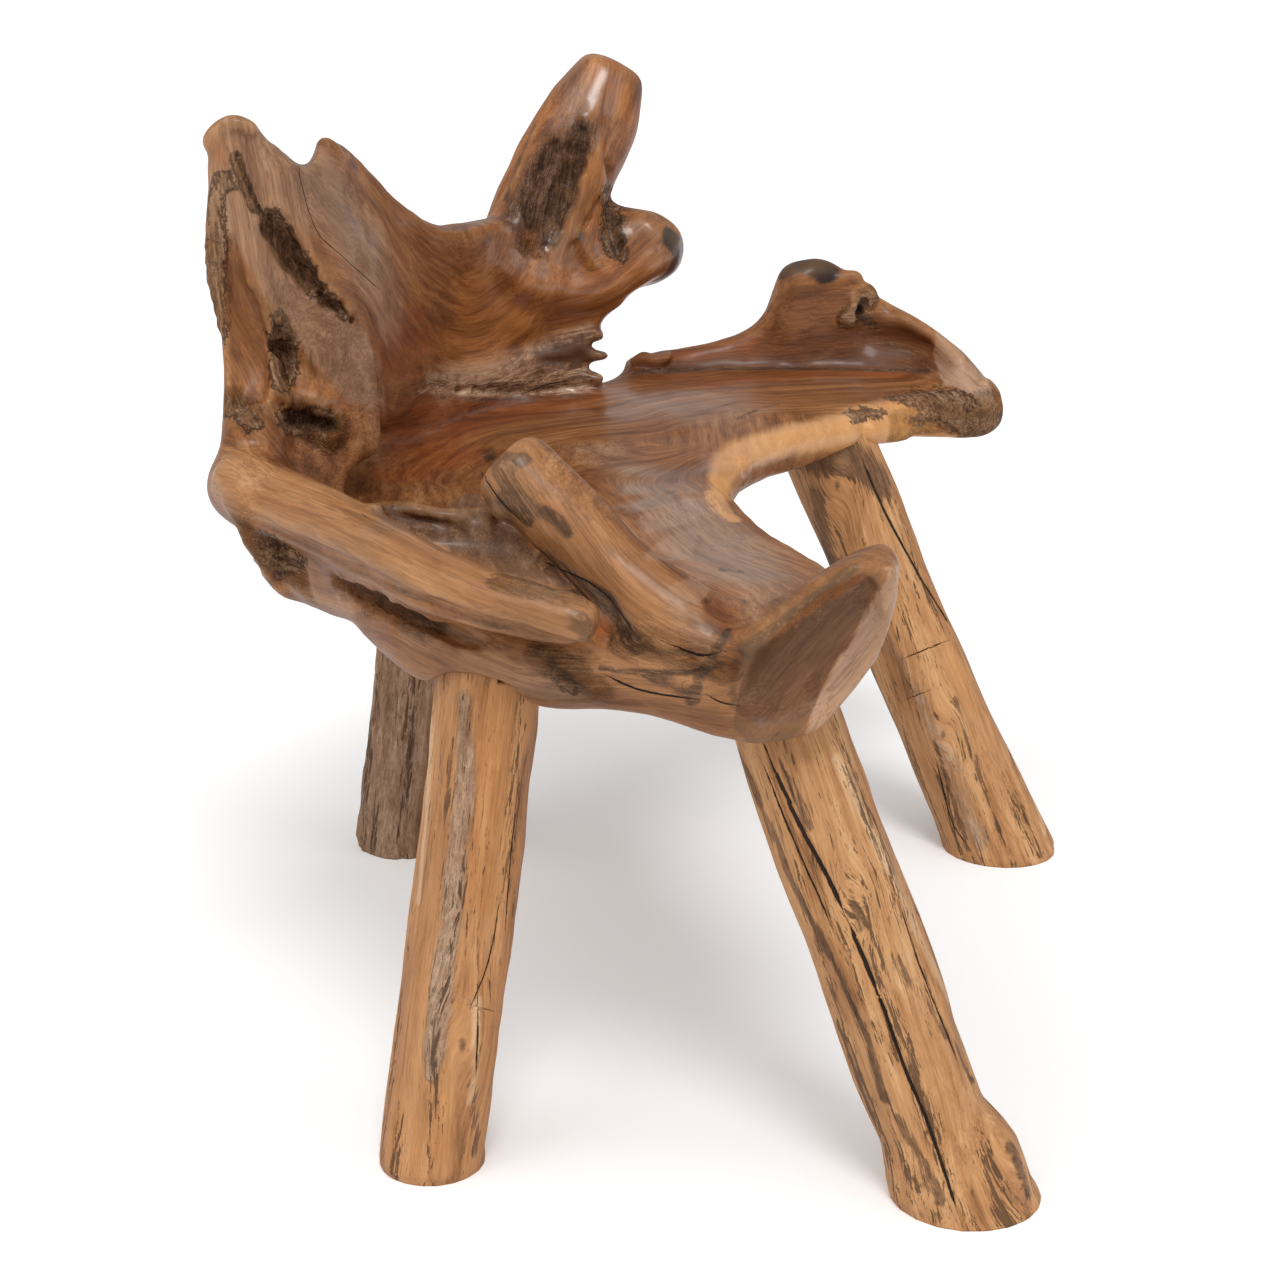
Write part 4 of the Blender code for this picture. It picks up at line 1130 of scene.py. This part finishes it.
def root_finish():
    """Polished teak: its figure follows the strands of grain, with weathered grey, sapwood and dark bark."""
    teak = Finish("root_teak_polished")
    wood = root_patterns(teak)
    bands, fibres, blotches, crumbs = wood.bands, wood.fibres, wood.blotches, wood.crumbs
    tone = 0.5 + wood.figure.swing(1.2) + bands.swing(0.55) + blotches.swing(0.45)
    tone = tone + fibres.swing(0.85) + wood.rings.swing(0.14)
    mottled = tone + crumbs.swing(1.3) + bands.swing(1.8) + fibres.swing(1.2)
    fibrous = 0.46 + bands.swing(1.7) + fibres.swing(1.9) + blotches.swing(1.5) + crumbs.swing(0.5)
    heights = {"bark": mottled, "burl": mottled, "burr": fibrous, "sap": tone * 0.6 + 0.24}

    # What makes the edges of tints and patches ragged
    patchy = blotches.swing(1.6) + bands.swing(1.0) + crumbs.swing(0.3)
    streaky = bands.swing(2.2) + fibres.swing(1.2) + crumbs.swing(0.9) + blotches.swing(1.4)
    ragged = bands.swing(0.9) + blotches.swing(1.2) + fibres.swing(0.4)
    edges = {"bark": ragged + crumbs.swing(2.4), "sap": blotches.swing(1.1) + bands.swing(0.2)}

    def tinted(name, low, high, edge=patchy):
        return teak.step(teak.field(name) + edge * 0.5, low, high)

    colour = teak.ramp(tone, HEART_TONES)
    for name, (tones, strength, low, high) in ROOT_TINTS.items():
        colour = teak.mix(tinted(name, low, high) * strength, colour, teak.ramp(tone, tones))
    inside = {}
    for name, (tones, strength, soft) in ROOT_PATCHES.items():
        inside[name] = teak.step(teak.field(f"patch_{name}") + edges.get(name, ragged), -soft, soft)
        colour = teak.mix(inside[name] * strength, colour, teak.ramp(heights.get(name, tone), tones))
    # The dark tint: dark stains, hollows and cracks, and painted shade where some of its strokes lie
    colour = teak.mix(tinted("dark", 0.38, 0.62, streaky) * 0.90, colour, teak.ramp(mottled, DARK_TONES))
    colour = teak.mix(tinted("black", 0.25, 0.55) * 0.95, colour, BLACK_WOOD)
    lined = 1.0 - inside["sap"] * 0.8
    veins = teak.step(1.0 - abs(wood.veins - 0.5) * 14.0 + blotches.swing(3.0), 0.3, 1.0)
    colour = teak.mix(veins * lined * 0.30, colour, VEIN)

    bend = teak.field("bend")
    colour = teak.mix(teak.step(bend, 0.6, 3.5) * 0.22, colour, WORN)
    # Painted shade: creases, where bend is below 0, darken towards the crease shade colour, less in bark and
    # burl patches
    depth = 0.40 - inside["bark"] * 0.28 - inside["burl"] * 0.30
    colour = teak.mix(teak.step(bend, -0.5, -4.0) * depth, colour, CREASE_SHADE)
    crack = teak.cracks(teak.places(), (0.008, 0.008, 0.008))
    colour = teak.mix(crack, colour, CRACK)
    rough = tinted("rough", 0.25, 0.75).most(inside["bark"] * 0.8).most(inside["burr"] * 0.6)
    splits = teak.step(wood.shakes + blotches.swing(0.35) + rough * 0.06, 0.66, 0.72)
    colour = teak.mix(splits * 0.60, colour, SPLIT)
    specks = teak.step(fibres + blotches.swing(0.3), 0.60, 0.72) * 0.40
    colour = teak.mix(specks * lined, colour, SPECK)

    polish = teak.step(teak.field("polish"), 0.1, 0.8)
    roughness = 0.52 + rough * 0.35 + crack * 0.3 + blotches.swing(0.15) + fibres.swing(0.15)
    fine = teak.bump(fibres + bands * 0.6 - crack * 1.5 - splits * 0.8, 0.0007, 0.6)
    normal = teak.bump(crumbs * rough * 1.4 + bands * rough, 0.006, 1.0, fine)
    gloss = (0.22 + polish * 0.75) * (1.0 - rough) * (1.0 - crack)
    teak.links.new(gloss.socket, teak.surface.inputs["Coat Weight"])
    return teak.join(colour, roughness, normal, Specular_IOR_Level=0.22, Coat_Roughness=0.22)


def growth_rings(teak, lanes):
    """Growth lines: waves across the strands, bent by noise into arches."""
    look = {"Scale": 1.0, "Distortion": 9.0, "Detail": 3.0, "Detail Scale": 1.2, "Detail Roughness": 0.6}
    return sum(teak.node("ShaderNodeTexWave", {"bands_direction": "Y"}, {
        "Vector": teak.stretch(grain, (0.30, 0.045, 0.045)), **look}, 1) * share for grain, share in lanes)


# ---- Legs

# Each leg: its tone, its shares of spalt marks and of red, and the seed of its shape; its checks, as half
# width in millimetres and stops in pixels; its knots, as a place in pixels and a size in millimetres; and its
# tints, as reach in millimetres, strength and stops in pixels
LEGS = {
    "near_back": {
        "tone": 0.57, "spalt": 0.05, "red": 0.5, "seed": 1,
        "checks": ((0.8, ((478, 985), (477, 1030), (474, 1075))), (0.5, ((470, 1005), (492, 1010))),
                   (0.6, ((436, 690), (430, 760), (426, 820))),
                   (0.5, ((500, 905), (490, 960), (470, 1010))),
                   (0.5, ((520, 780), (512, 850), (505, 930)))),
        "knots": ((461, 1043, 14),),
        "grey": ((10, 0.8, ((462, 700), (464, 790), (455, 870), (446, 960), (436, 1050))),
                 (7, 0.9, ((440, 960), (436, 1020), (432, 1075)))),
        "sap": ((6, 0.9, ((432, 700), (424, 800), (416, 900))), (7, 0.7, ((478, 1000), (470, 1100)))),
        "dark": ((5, 0.6, ((452, 740), (448, 790), (446, 830))),
                 (10, 0.5, ((462, 1050), (472, 1100), (476, 1150))),
                 (5, 0.5, ((516, 720), (518, 800), (506, 880)))),
        "amber": ((18, 0.9, ((495, 700), (490, 800), (485, 900))), (9, 1.0, ((497, 838), (494, 850))),
                  (16, 0.6, ((450, 1100), (440, 1150)))),
    },
    "near_front": {
        "tone": 0.62, "spalt": 0.25, "red": 0.12, "seed": 2,
        "checks": ((1.5,
                    ((758, 740), (775, 780), (800, 830), (822, 870), (850, 930), (866, 965), (880, 1000))),
                   (1.2, ((846, 920), (880, 1000), (905, 1070), (930, 1130), (958, 1214))),
                   (0.8, ((756, 760), (790, 840), (830, 930))),
                   (0.7, ((900, 900), (930, 980), (960, 1060)))),
        "knots": ((852, 900, 9), (1014, 1160, 18)),
        "grey": (),
        "sap": ((8, 0.7, ((838, 760), (900, 890), (950, 1000), (985, 1090))),),
        "dark": ((7, 0.7, ((738, 752), (790, 880), (850, 1000), (885, 1100))),
                 (12, 0.7, ((1014, 1150), (1030, 1195))), (6, 0.8, ((772, 750), (792, 790), (806, 830))),
                 (6, 0.6, ((850, 890), (862, 930))), (7, 0.7, ((900, 960), (940, 1020), (975, 1080))),
                 (8, 0.7, ((900, 1120), (930, 1180), (940, 1200)))),
        "amber": ((12, 0.6, ((870, 820), (900, 900))),),
    },
    "far_front": {
        "tone": 0.6, "spalt": 0.1, "red": 0.22, "seed": 3,
        "checks": ((1.6, ((863, 458), (890, 520), (920, 570), (960, 640))),
                   (0.7, ((935, 760), (950, 820), (970, 850))), (0.5, ((900, 660), (950, 640))),
                   (0.5, ((905, 700), (930, 690)))),
        "knots": ((838, 485, 14), (943, 735, 13)),
        "grey": ((16, 0.5, ((860, 600), (930, 720), (980, 840))),),
        "sap": ((9, 0.8, ((885, 460), (930, 560), (985, 680), (1045, 830))),),
        # Painted shade: the first dark stroke darkens the top of the log under the seat's edge
        "dark": ((26, 0.9, ((800, 455), (850, 460), (880, 480))),
                 (14, 0.8, ((815, 500), (830, 560), (860, 570))),
                 (6, 0.6, ((955, 700), (975, 760), (1000, 830))),
                 (5, 0.7, ((935, 740), (950, 790), (968, 850)))),
        "amber": ((16, 0.6, ((930, 600), (970, 700))),),
    },
    "far_back": {
        "tone": 0.5, "spalt": 0.15, "red": 0.1, "seed": 4,
        "checks": (),
        "knots": (),
        "grey": ((60, 0.9, ((395, 660), (390, 740), (385, 840))),),
        "sap": (),
        "dark": ((8, 0.5, ((405, 650), (410, 760))),),
        "amber": (),
    },
}


# How far from its axis a log is felt from, how far from its ends, how often up it and round it, and how long
# the stretch is at each end whose middle gives its axis
LOG_REACH = 0.15
FELT_MARGIN = 0.0005
FELT_ROWS = 90
FELT_COLUMNS = 72
AXIS_STRETCH = 0.02

# The log's own rows and columns of corners
LOG_ROWS = 300
LOG_COLUMNS = 220

# Its bole, as wide for every log, on which its noises lie
BOLE_RADIUS = 0.055

# Its lobes and flutes: how much a wave is drawn out along it, its size, seed, finer copies and height
LOG_WAVES = ((0.45, 0.045, 0, 3, 0.0026), (0.08, 0.05, 5, 2, 0.0020), (0.12, 0.011, 9, 3, 0.0010))
LOG_SEED_STEP = 50
# How near its ends they fade, and how much thinner the log is for them
LOG_END = 0.01
LOG_SHRINK = 0.001

# Checks are sunk a little past their width: their depth, how many times their width is taken, and where the
# sunk wood starts and is at its full depth, in centimetres inside that width
CHECK_DEPTH = 0.0015
CHECK_SPREAD = 1.3
CHECK_EDGE = (-0.10, 0.05)

# Pits in grey wood: their depth, how they are drawn out along the log, and their size, seed and finer copies
PIT_DEPTH = 0.0035
PIT_LENGTH = 0.5
PITS = (0.010, 20, 2)

# Knots of the log: how they are drawn out along it, how far the grain parts round them and its reach in their
# sizes, how many times smaller their eyes are, and how many times their height goes into their size
KNOT_LENGTH = 0.45
KNOT_PARTING = 0.92
KNOT_REACH = 1.8
KNOT_EYE = 3
KNOT_FLATNESS = 6


def leg_axis(places):
    """The middle of a log's head and of its foot."""
    low, high = places[:, 2].min(), places[:, 2].max()
    foot = places[places[:, 2] < low + AXIS_STRETCH].mean(axis=0)
    head = places[places[:, 2] > high - AXIS_STRETCH].mean(axis=0)
    return head, foot


def leg_radii(node, heights, angles):
    """The log's middle at each height, and its radius at each height and angle, felt from its axis."""
    tree = touch_tree(node)
    places, _ = mesh_arrays(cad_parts[node].data)
    head, foot = leg_axis(places)
    share = (heights - foot[2]) / (head[2] - foot[2])
    middles = foot + share[:, None] * (head - foot)
    middles[:, 2] = heights
    radii = np.zeros((len(heights), len(angles)))
    for row, middle in enumerate(middles):
        for column, angle in enumerate(angles):
            outward = Vector((np.cos(angle), np.sin(angle), 0))
            hit = tree.ray_cast(Vector(middle) + outward * LOG_REACH, -outward)
            radii[row, column] = LOG_REACH - hit[3] if hit[0] is not None else np.nan
    return middles, radii


def felt_log(node, heights, angles):
    """The log's middle at each height, and its radius at each height and angle, felt on its CAD leg."""
    low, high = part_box(node)
    felt_heights = np.linspace(low[2] + FELT_MARGIN, high[2] - FELT_MARGIN, FELT_ROWS)
    felt_angles = np.arange(FELT_COLUMNS) * 2 * np.pi / FELT_COLUMNS
    middles, felt = leg_radii(node, felt_heights, felt_angles)
    for column in felt.T:
        known = np.isfinite(column)
        column[:] = np.interp(felt_heights, felt_heights[known], column[known])
    wrapped = np.concatenate([felt, felt[:, :1]], axis=1)
    across = np.array([np.interp(angles, np.append(felt_angles, 2 * np.pi), row) for row in wrapped])
    return (np.array([np.interp(heights, felt_heights, part) for part in measure.T]).T
            for measure in (middles, across))


def make_leg(name, marks, finish):
    """A log leg: the CAD leg's radius over height and angle, with lobes, flutes along it and sunk checks."""
    node = f"leg_{name}"
    low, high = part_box(node)
    heights = np.linspace(low[2], high[2], LOG_ROWS)
    angles = np.arange(LOG_COLUMNS) * 2 * np.pi / LOG_COLUMNS
    middles, radii = felt_log(node, heights, angles)
    turn, rise = np.meshgrid(angles, heights)
    ring = np.stack([np.cos(turn), np.sin(turn)], -1)
    bole = np.dstack([ring * BOLE_RADIUS, rise]).reshape(-1, 3)
    seed = marks["seed"] * LOG_SEED_STEP
    waves = sum(fractal(bole * (1, 1, along), cell, seed + shift, octaves) * height
                for along, cell, shift, octaves, height in LOG_WAVES)
    ends = smooth_step(0, LOG_END, np.minimum(rise - low[2], high[2] - rise)).ravel()
    radius = radii.ravel() + waves * ends - LOG_SHRINK
    places = np.column_stack([radius * ring[..., 0].ravel(), radius * ring[..., 1].ravel(), rise.ravel()])
    places[:, :2] += np.repeat(middles[:, :2], LOG_COLUMNS, axis=0)
    outward = np.column_stack([ring.reshape(-1, 2), np.zeros(LOG_ROWS * LOG_COLUMNS)])

    tree = touch_tree(node)
    cracks = crack_fields(tree, places, outward, marks["checks"])
    sunk = smooth_step(*CHECK_EDGE, cracks["crack_width"] * CHECK_SPREAD - np.abs(cracks["crack"]))
    places -= outward * (sunk * CHECK_DEPTH)[:, None]
    straight = np.column_stack([bole[:, :2] / BOLE_RADIUS * radius[:, None], rise.ravel()])
    eyes = grow_knots(tree, marks["knots"], places, outward, straight)
    fields = {"bole": straight, "eye": eyes, **cracks}
    for tint in ("grey", "sap", "dark", "amber"):
        fields[tint] = tint_field(tree, places, outward, marks[tint])
    cell, shift, octaves = PITS
    pits = np.maximum(fractal(places * (1, 1, PIT_LENGTH), cell, seed + shift, octaves), 0) * fields["grey"]
    places -= outward * (pits * PIT_DEPTH)[:, None]
    for value in ("tone", "spalt", "red"):
        fields[f"log_{value}"] = np.full(len(places), float(marks[value]))

    index = np.arange(LOG_ROWS * LOG_COLUMNS).reshape(LOG_ROWS, LOG_COLUMNS)
    right = np.roll(index, -1, axis=1)
    faces = np.stack([index[:-1], right[:-1], right[1:], index[1:]], -1).reshape(-1, 4).tolist()
    faces.append(index[0, ::-1].tolist())
    faces.append(index[-1].tolist())
    make_piece(f"{node}_log", places, faces, fields, finish, node, flat=2)


def grow_knots(tree, knots, places, outward, straight):
    """Lift the log over its knots and part its straight grain round them. Gives how near their eyes are."""
    eyes = np.zeros(len(places))
    for across, down, size in knots:
        spot, _ = seen(tree, [(across, down)])
        if len(spot) == 0:
            continue
        gap = places - spot[0]
        near = np.linalg.norm(gap * (1, 1, KNOT_LENGTH), axis=1) * MILLI / size
        eyes = np.maximum(eyes, np.exp(-(near * KNOT_EYE) ** 2))
        straight[:, :2] -= gap[:, :2] * (KNOT_PARTING * np.exp(-(near / KNOT_REACH) ** 2))[:, None]
        places += outward * (size / (KNOT_FLATNESS * MILLI) * np.exp(-near ** 2))[:, None]
    return eyes


# Tones of the logs
LOG_TONES = ((0.0, (0.110, 0.042, 0.013)), (0.3, (0.285, 0.122, 0.042)), (0.5, (0.440, 0.205, 0.078)),
             (0.75, (0.575, 0.300, 0.128)), (1.0, (0.700, 0.420, 0.210)))
LOG_RED = ((0.0, (0.170, 0.052, 0.014)), (1.0, (0.540, 0.220, 0.075)))
LOG_AMBER = ((0.0, (0.200, 0.068, 0.016)), (0.5, (0.440, 0.185, 0.060)), (1.0, (0.640, 0.320, 0.125)))
LOG_GREY = ((0.0, (0.150, 0.080, 0.044)), (0.5, (0.340, 0.200, 0.120)), (1.0, (0.580, 0.400, 0.275)))
LOG_SAP = ((0.0, (0.420, 0.215, 0.095)), (1.0, (0.740, 0.480, 0.270)))
LOG_SPALT = ((0.0, (0.035, 0.016, 0.008)), (1.0, (0.140, 0.068, 0.032)))
LOG_CRACK = (0.018, 0.009, 0.005)
LOG_SPLIT = (0.060, 0.026, 0.011)

# Tints that colour a log: tones, how ragged, and the field's values at which they start and are full
LOG_TINTS = {
    "amber": (LOG_AMBER, 0.5, 0.25, 0.75),
    "grey": (LOG_GREY, 0.5, 0.30, 0.65),
    "sap": (LOG_SAP, 0.4, 0.30, 0.65),
}


def leg_finish():
    """Oiled log: long streaks down the bole, dark spalt marks, knots that part the grain, checks and grey."""
    log = Finish("leg_teak_oiled")
    bole = log.vector_field("bole")
    streaks = log.noise(bole, (0.020, 0.020, 0.40), 5.0, 0.6, 0.6)
    bands = log.noise(bole, (0.0045, 0.0045, 0.13), 4.0, 0.65, 0.4)
    fibres = log.noise(bole, (0.0013, 0.0013, 0.030), 3.0, 0.65)
    blotches = log.noise(bole, (0.030, 0.030, 0.075), 6.0, 0.62, 0.8)
    grit = log.noise(bole, (0.004, 0.004, 0.010), 4.0, 0.7)
    tone = log.field("log_tone") + streaks.swing(1.1) + bands.swing(0.7) + blotches.swing(0.9)
    tone = tone + fibres.swing(0.55)
    patchy = blotches.swing(1.6) + bands.swing(0.8) + grit.swing(0.4)
    red = log.step(log.field("log_red") + patchy * 0.8, 0.2, 0.9)
    colour = log.mix(red * 0.6, log.ramp(tone, LOG_TONES), log.ramp(tone, LOG_RED))
    tinted = {}
    for name, (tones, ragged, low, high) in LOG_TINTS.items():
        tinted[name] = log.step(log.field(name) + patchy * ragged, low, high)
        height = tone + grit.swing(1.4) if name == "grey" else tone
        colour = log.mix(tinted[name] * 0.9, colour, log.ramp(height, tones))

    dashes = log.noise(bole, (0.0040, 0.0040, 0.034), 4.0, 0.7, 0.5)
    ticks = log.noise(bole, (0.0020, 0.0020, 0.020), 4.0, 0.7, 0.3)
    spread = log.noise(bole, (0.016, 0.016, 0.22), 2.0, 0.5).swing(0.7) + log.field("log_spalt") * 0.16
    spalt = log.step(dashes + spread, 0.660, 0.690)
    spalt = spalt.most(log.step(ticks + spread * 0.8, 0.660, 0.700) * 0.8)
    colour = log.mix(spalt * 0.85, colour, log.ramp(fibres, LOG_SPALT))
    # Dark marks, and painted shade at the top of the far front log
    dark = log.step(log.field("dark") + patchy * 0.5 + dashes.swing(1.4), 0.40, 0.62)
    colour = log.mix(dark * 0.85, colour, log.ramp(tone + grit.swing(1.2), DARK_TONES))
    eye = log.step(log.field("eye") + grit.swing(0.8), 0.45, 0.95)
    colour = log.mix(eye * 0.85, colour, log.ramp(tone, DARK_TONES))

    crack = log.cracks(bole, (0.004, 0.004, 0.012))
    colour = log.mix(crack, colour, LOG_CRACK)
    shakes = log.noise(bole, (0.0016, 0.0016, 0.080), 4.0, 0.7, 0.3)
    splits = log.step(shakes + blotches.swing(0.3), 0.64, 0.69)
    colour = log.mix(splits * 0.65, colour, LOG_SPLIT)

    roughness = 0.55 + streaks.swing(0.25) + spalt * 0.15 + tinted["grey"] * 0.15 + crack * 0.2
    fine = log.bump(bands * 0.8 + fibres - spalt * 0.9 - crack - splits, 0.0012, 0.7)
    normal = log.bump(grit * (0.25 + tinted["grey"]), 0.0035, 0.8, fine)
    return log.join(colour, roughness, normal, Specular_IOR_Level=0.30)


def dowel_finish():
    """The cut face of a peg: pale end grain with rings."""
    peg = Finish("dowel_teak_end")
    places = peg.places()
    grain = peg.noise(places, (0.002, 0.002, 0.020), 3.0, 0.6)
    rings = peg.noise(places, (0.004, 0.004, 0.004), 3.0, 0.6, 0.5)
    colour = peg.ramp(0.45 + grain.swing(0.9) + rings.swing(0.6), LOG_TONES)
    return peg.join(colour, 0.5 + rings.swing(0.3), peg.bump(grain, 0.0008, 0.5))


# ---- Studio

# Half the floor's width
FLOOR_HALF = 60.0

# The even light, and the suns: direction, spread in degrees, and strength
WORLD_STRENGTH = 0.43
SUNS = {
    "softbox_front": ((-0.55, -0.08, 0.85), 18, 1.15),
    "softbox_wide": ((-0.55, 0.10, 0.85), 50, 0.70),
    "softbox_left": ((-0.30, 0.75, 0.90), 45, 0.60),
    "softbox_right": ((-0.45, -0.90, 0.60), 35, 0.40),
}


def make_floor():
    """A pale floor that shades as the wood does, and shows white to the camera where no shadow lies."""
    corners = [(x * FLOOR_HALF, y * FLOOR_HALF, 0) for x, y in ((-1, -1), (1, -1), (1, 1), (-1, 1))]
    mesh = bpy.data.meshes.new("studio_floor")
    mesh.from_pydata(corners, [], [(0, 1, 2, 3)])
    floor = bpy.data.objects.new("studio_floor", mesh)
    bpy.context.scene.collection.objects.link(floor)
    paint = Finish("pale_floor")
    for name, value in (("Base Color", (0.90, 0.90, 0.90, 1)), ("Roughness", 0.9),
                        ("Specular IOR Level", 0.1), ("Emission Strength", 0.14)):
        paint.surface.inputs[name].default_value = value
    direct = paint.node("ShaderNodeLightPath", {}, {})
    glow = paint.mix(direct, (0.0, 0.0, 0.0), (1.0, 1.0, 1.0))
    paint.links.new(glow.socket, paint.surface.inputs["Emission Color"])
    mesh.materials.append(paint.material)


def make_world():
    """Even light from all round, and white to the camera."""
    world = bpy.data.worlds.new("studio_light")
    bpy.context.scene.world = world
    world.use_nodes = True
    nodes, links = world.node_tree.nodes, world.node_tree.links
    sky = nodes["Background"]
    sky.inputs["Color"].default_value = (1, 1, 1, 1)
    sky.inputs["Strength"].default_value = WORLD_STRENGTH
    white = nodes.new("ShaderNodeBackground")
    white.inputs["Color"].default_value = (1, 1, 1, 1)
    path = nodes.new("ShaderNodeLightPath")
    choice = nodes.new("ShaderNodeMixShader")
    links.new(path.outputs["Is Camera Ray"], choice.inputs[0])
    links.new(sky.outputs[0], choice.inputs[1])
    links.new(white.outputs[0], choice.inputs[2])
    links.new(choice.outputs[0], nodes["World Output"].inputs["Surface"])


def make_sun(name, direction, spread, strength):
    """A soft sun: light from this direction, spread over this many degrees of sky like a large softbox."""
    sun = bpy.data.lights.new(name, "SUN")
    sun.energy = strength
    sun.angle = np.radians(spread)
    holder = bpy.data.objects.new(name, sun)
    holder.rotation_euler = Vector(direction).to_track_quat("Z", "Y").to_euler()
    bpy.context.scene.collection.objects.link(holder)


def make_camera():
    """The camera of the photograph: in front of the bench's near end, tilted down along +X."""
    lens = bpy.data.cameras.new("photo_camera")
    lens.lens = CAMERA_LENS
    lens.sensor_width = CAMERA_SENSOR
    camera = bpy.data.objects.new("photo_camera", lens)
    camera.location = CAMERA_PLACE
    camera.rotation_euler = (np.pi / 2 - CAMERA_TILT, 0, -np.pi / 2)
    bpy.context.scene.collection.objects.link(camera)
    bpy.context.scene.camera = camera


def main():
    """Dress the whole bench and set the studio up round it."""
    make_root(root_finish())
    logs = leg_finish()
    for name, marks in LEGS.items():
        make_leg(name, marks, logs)
    pegs = dowel_finish()
    for name in LEGS:
        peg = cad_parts[f"dowel_{name}"]
        peg.data.materials.clear()
        peg.data.materials.append(pegs.material)
    make_floor()
    make_world()
    for name, light in SUNS.items():
        make_sun(name, *light)
    make_camera()
    bpy.context.scene.view_settings.view_transform = "Standard"


main()
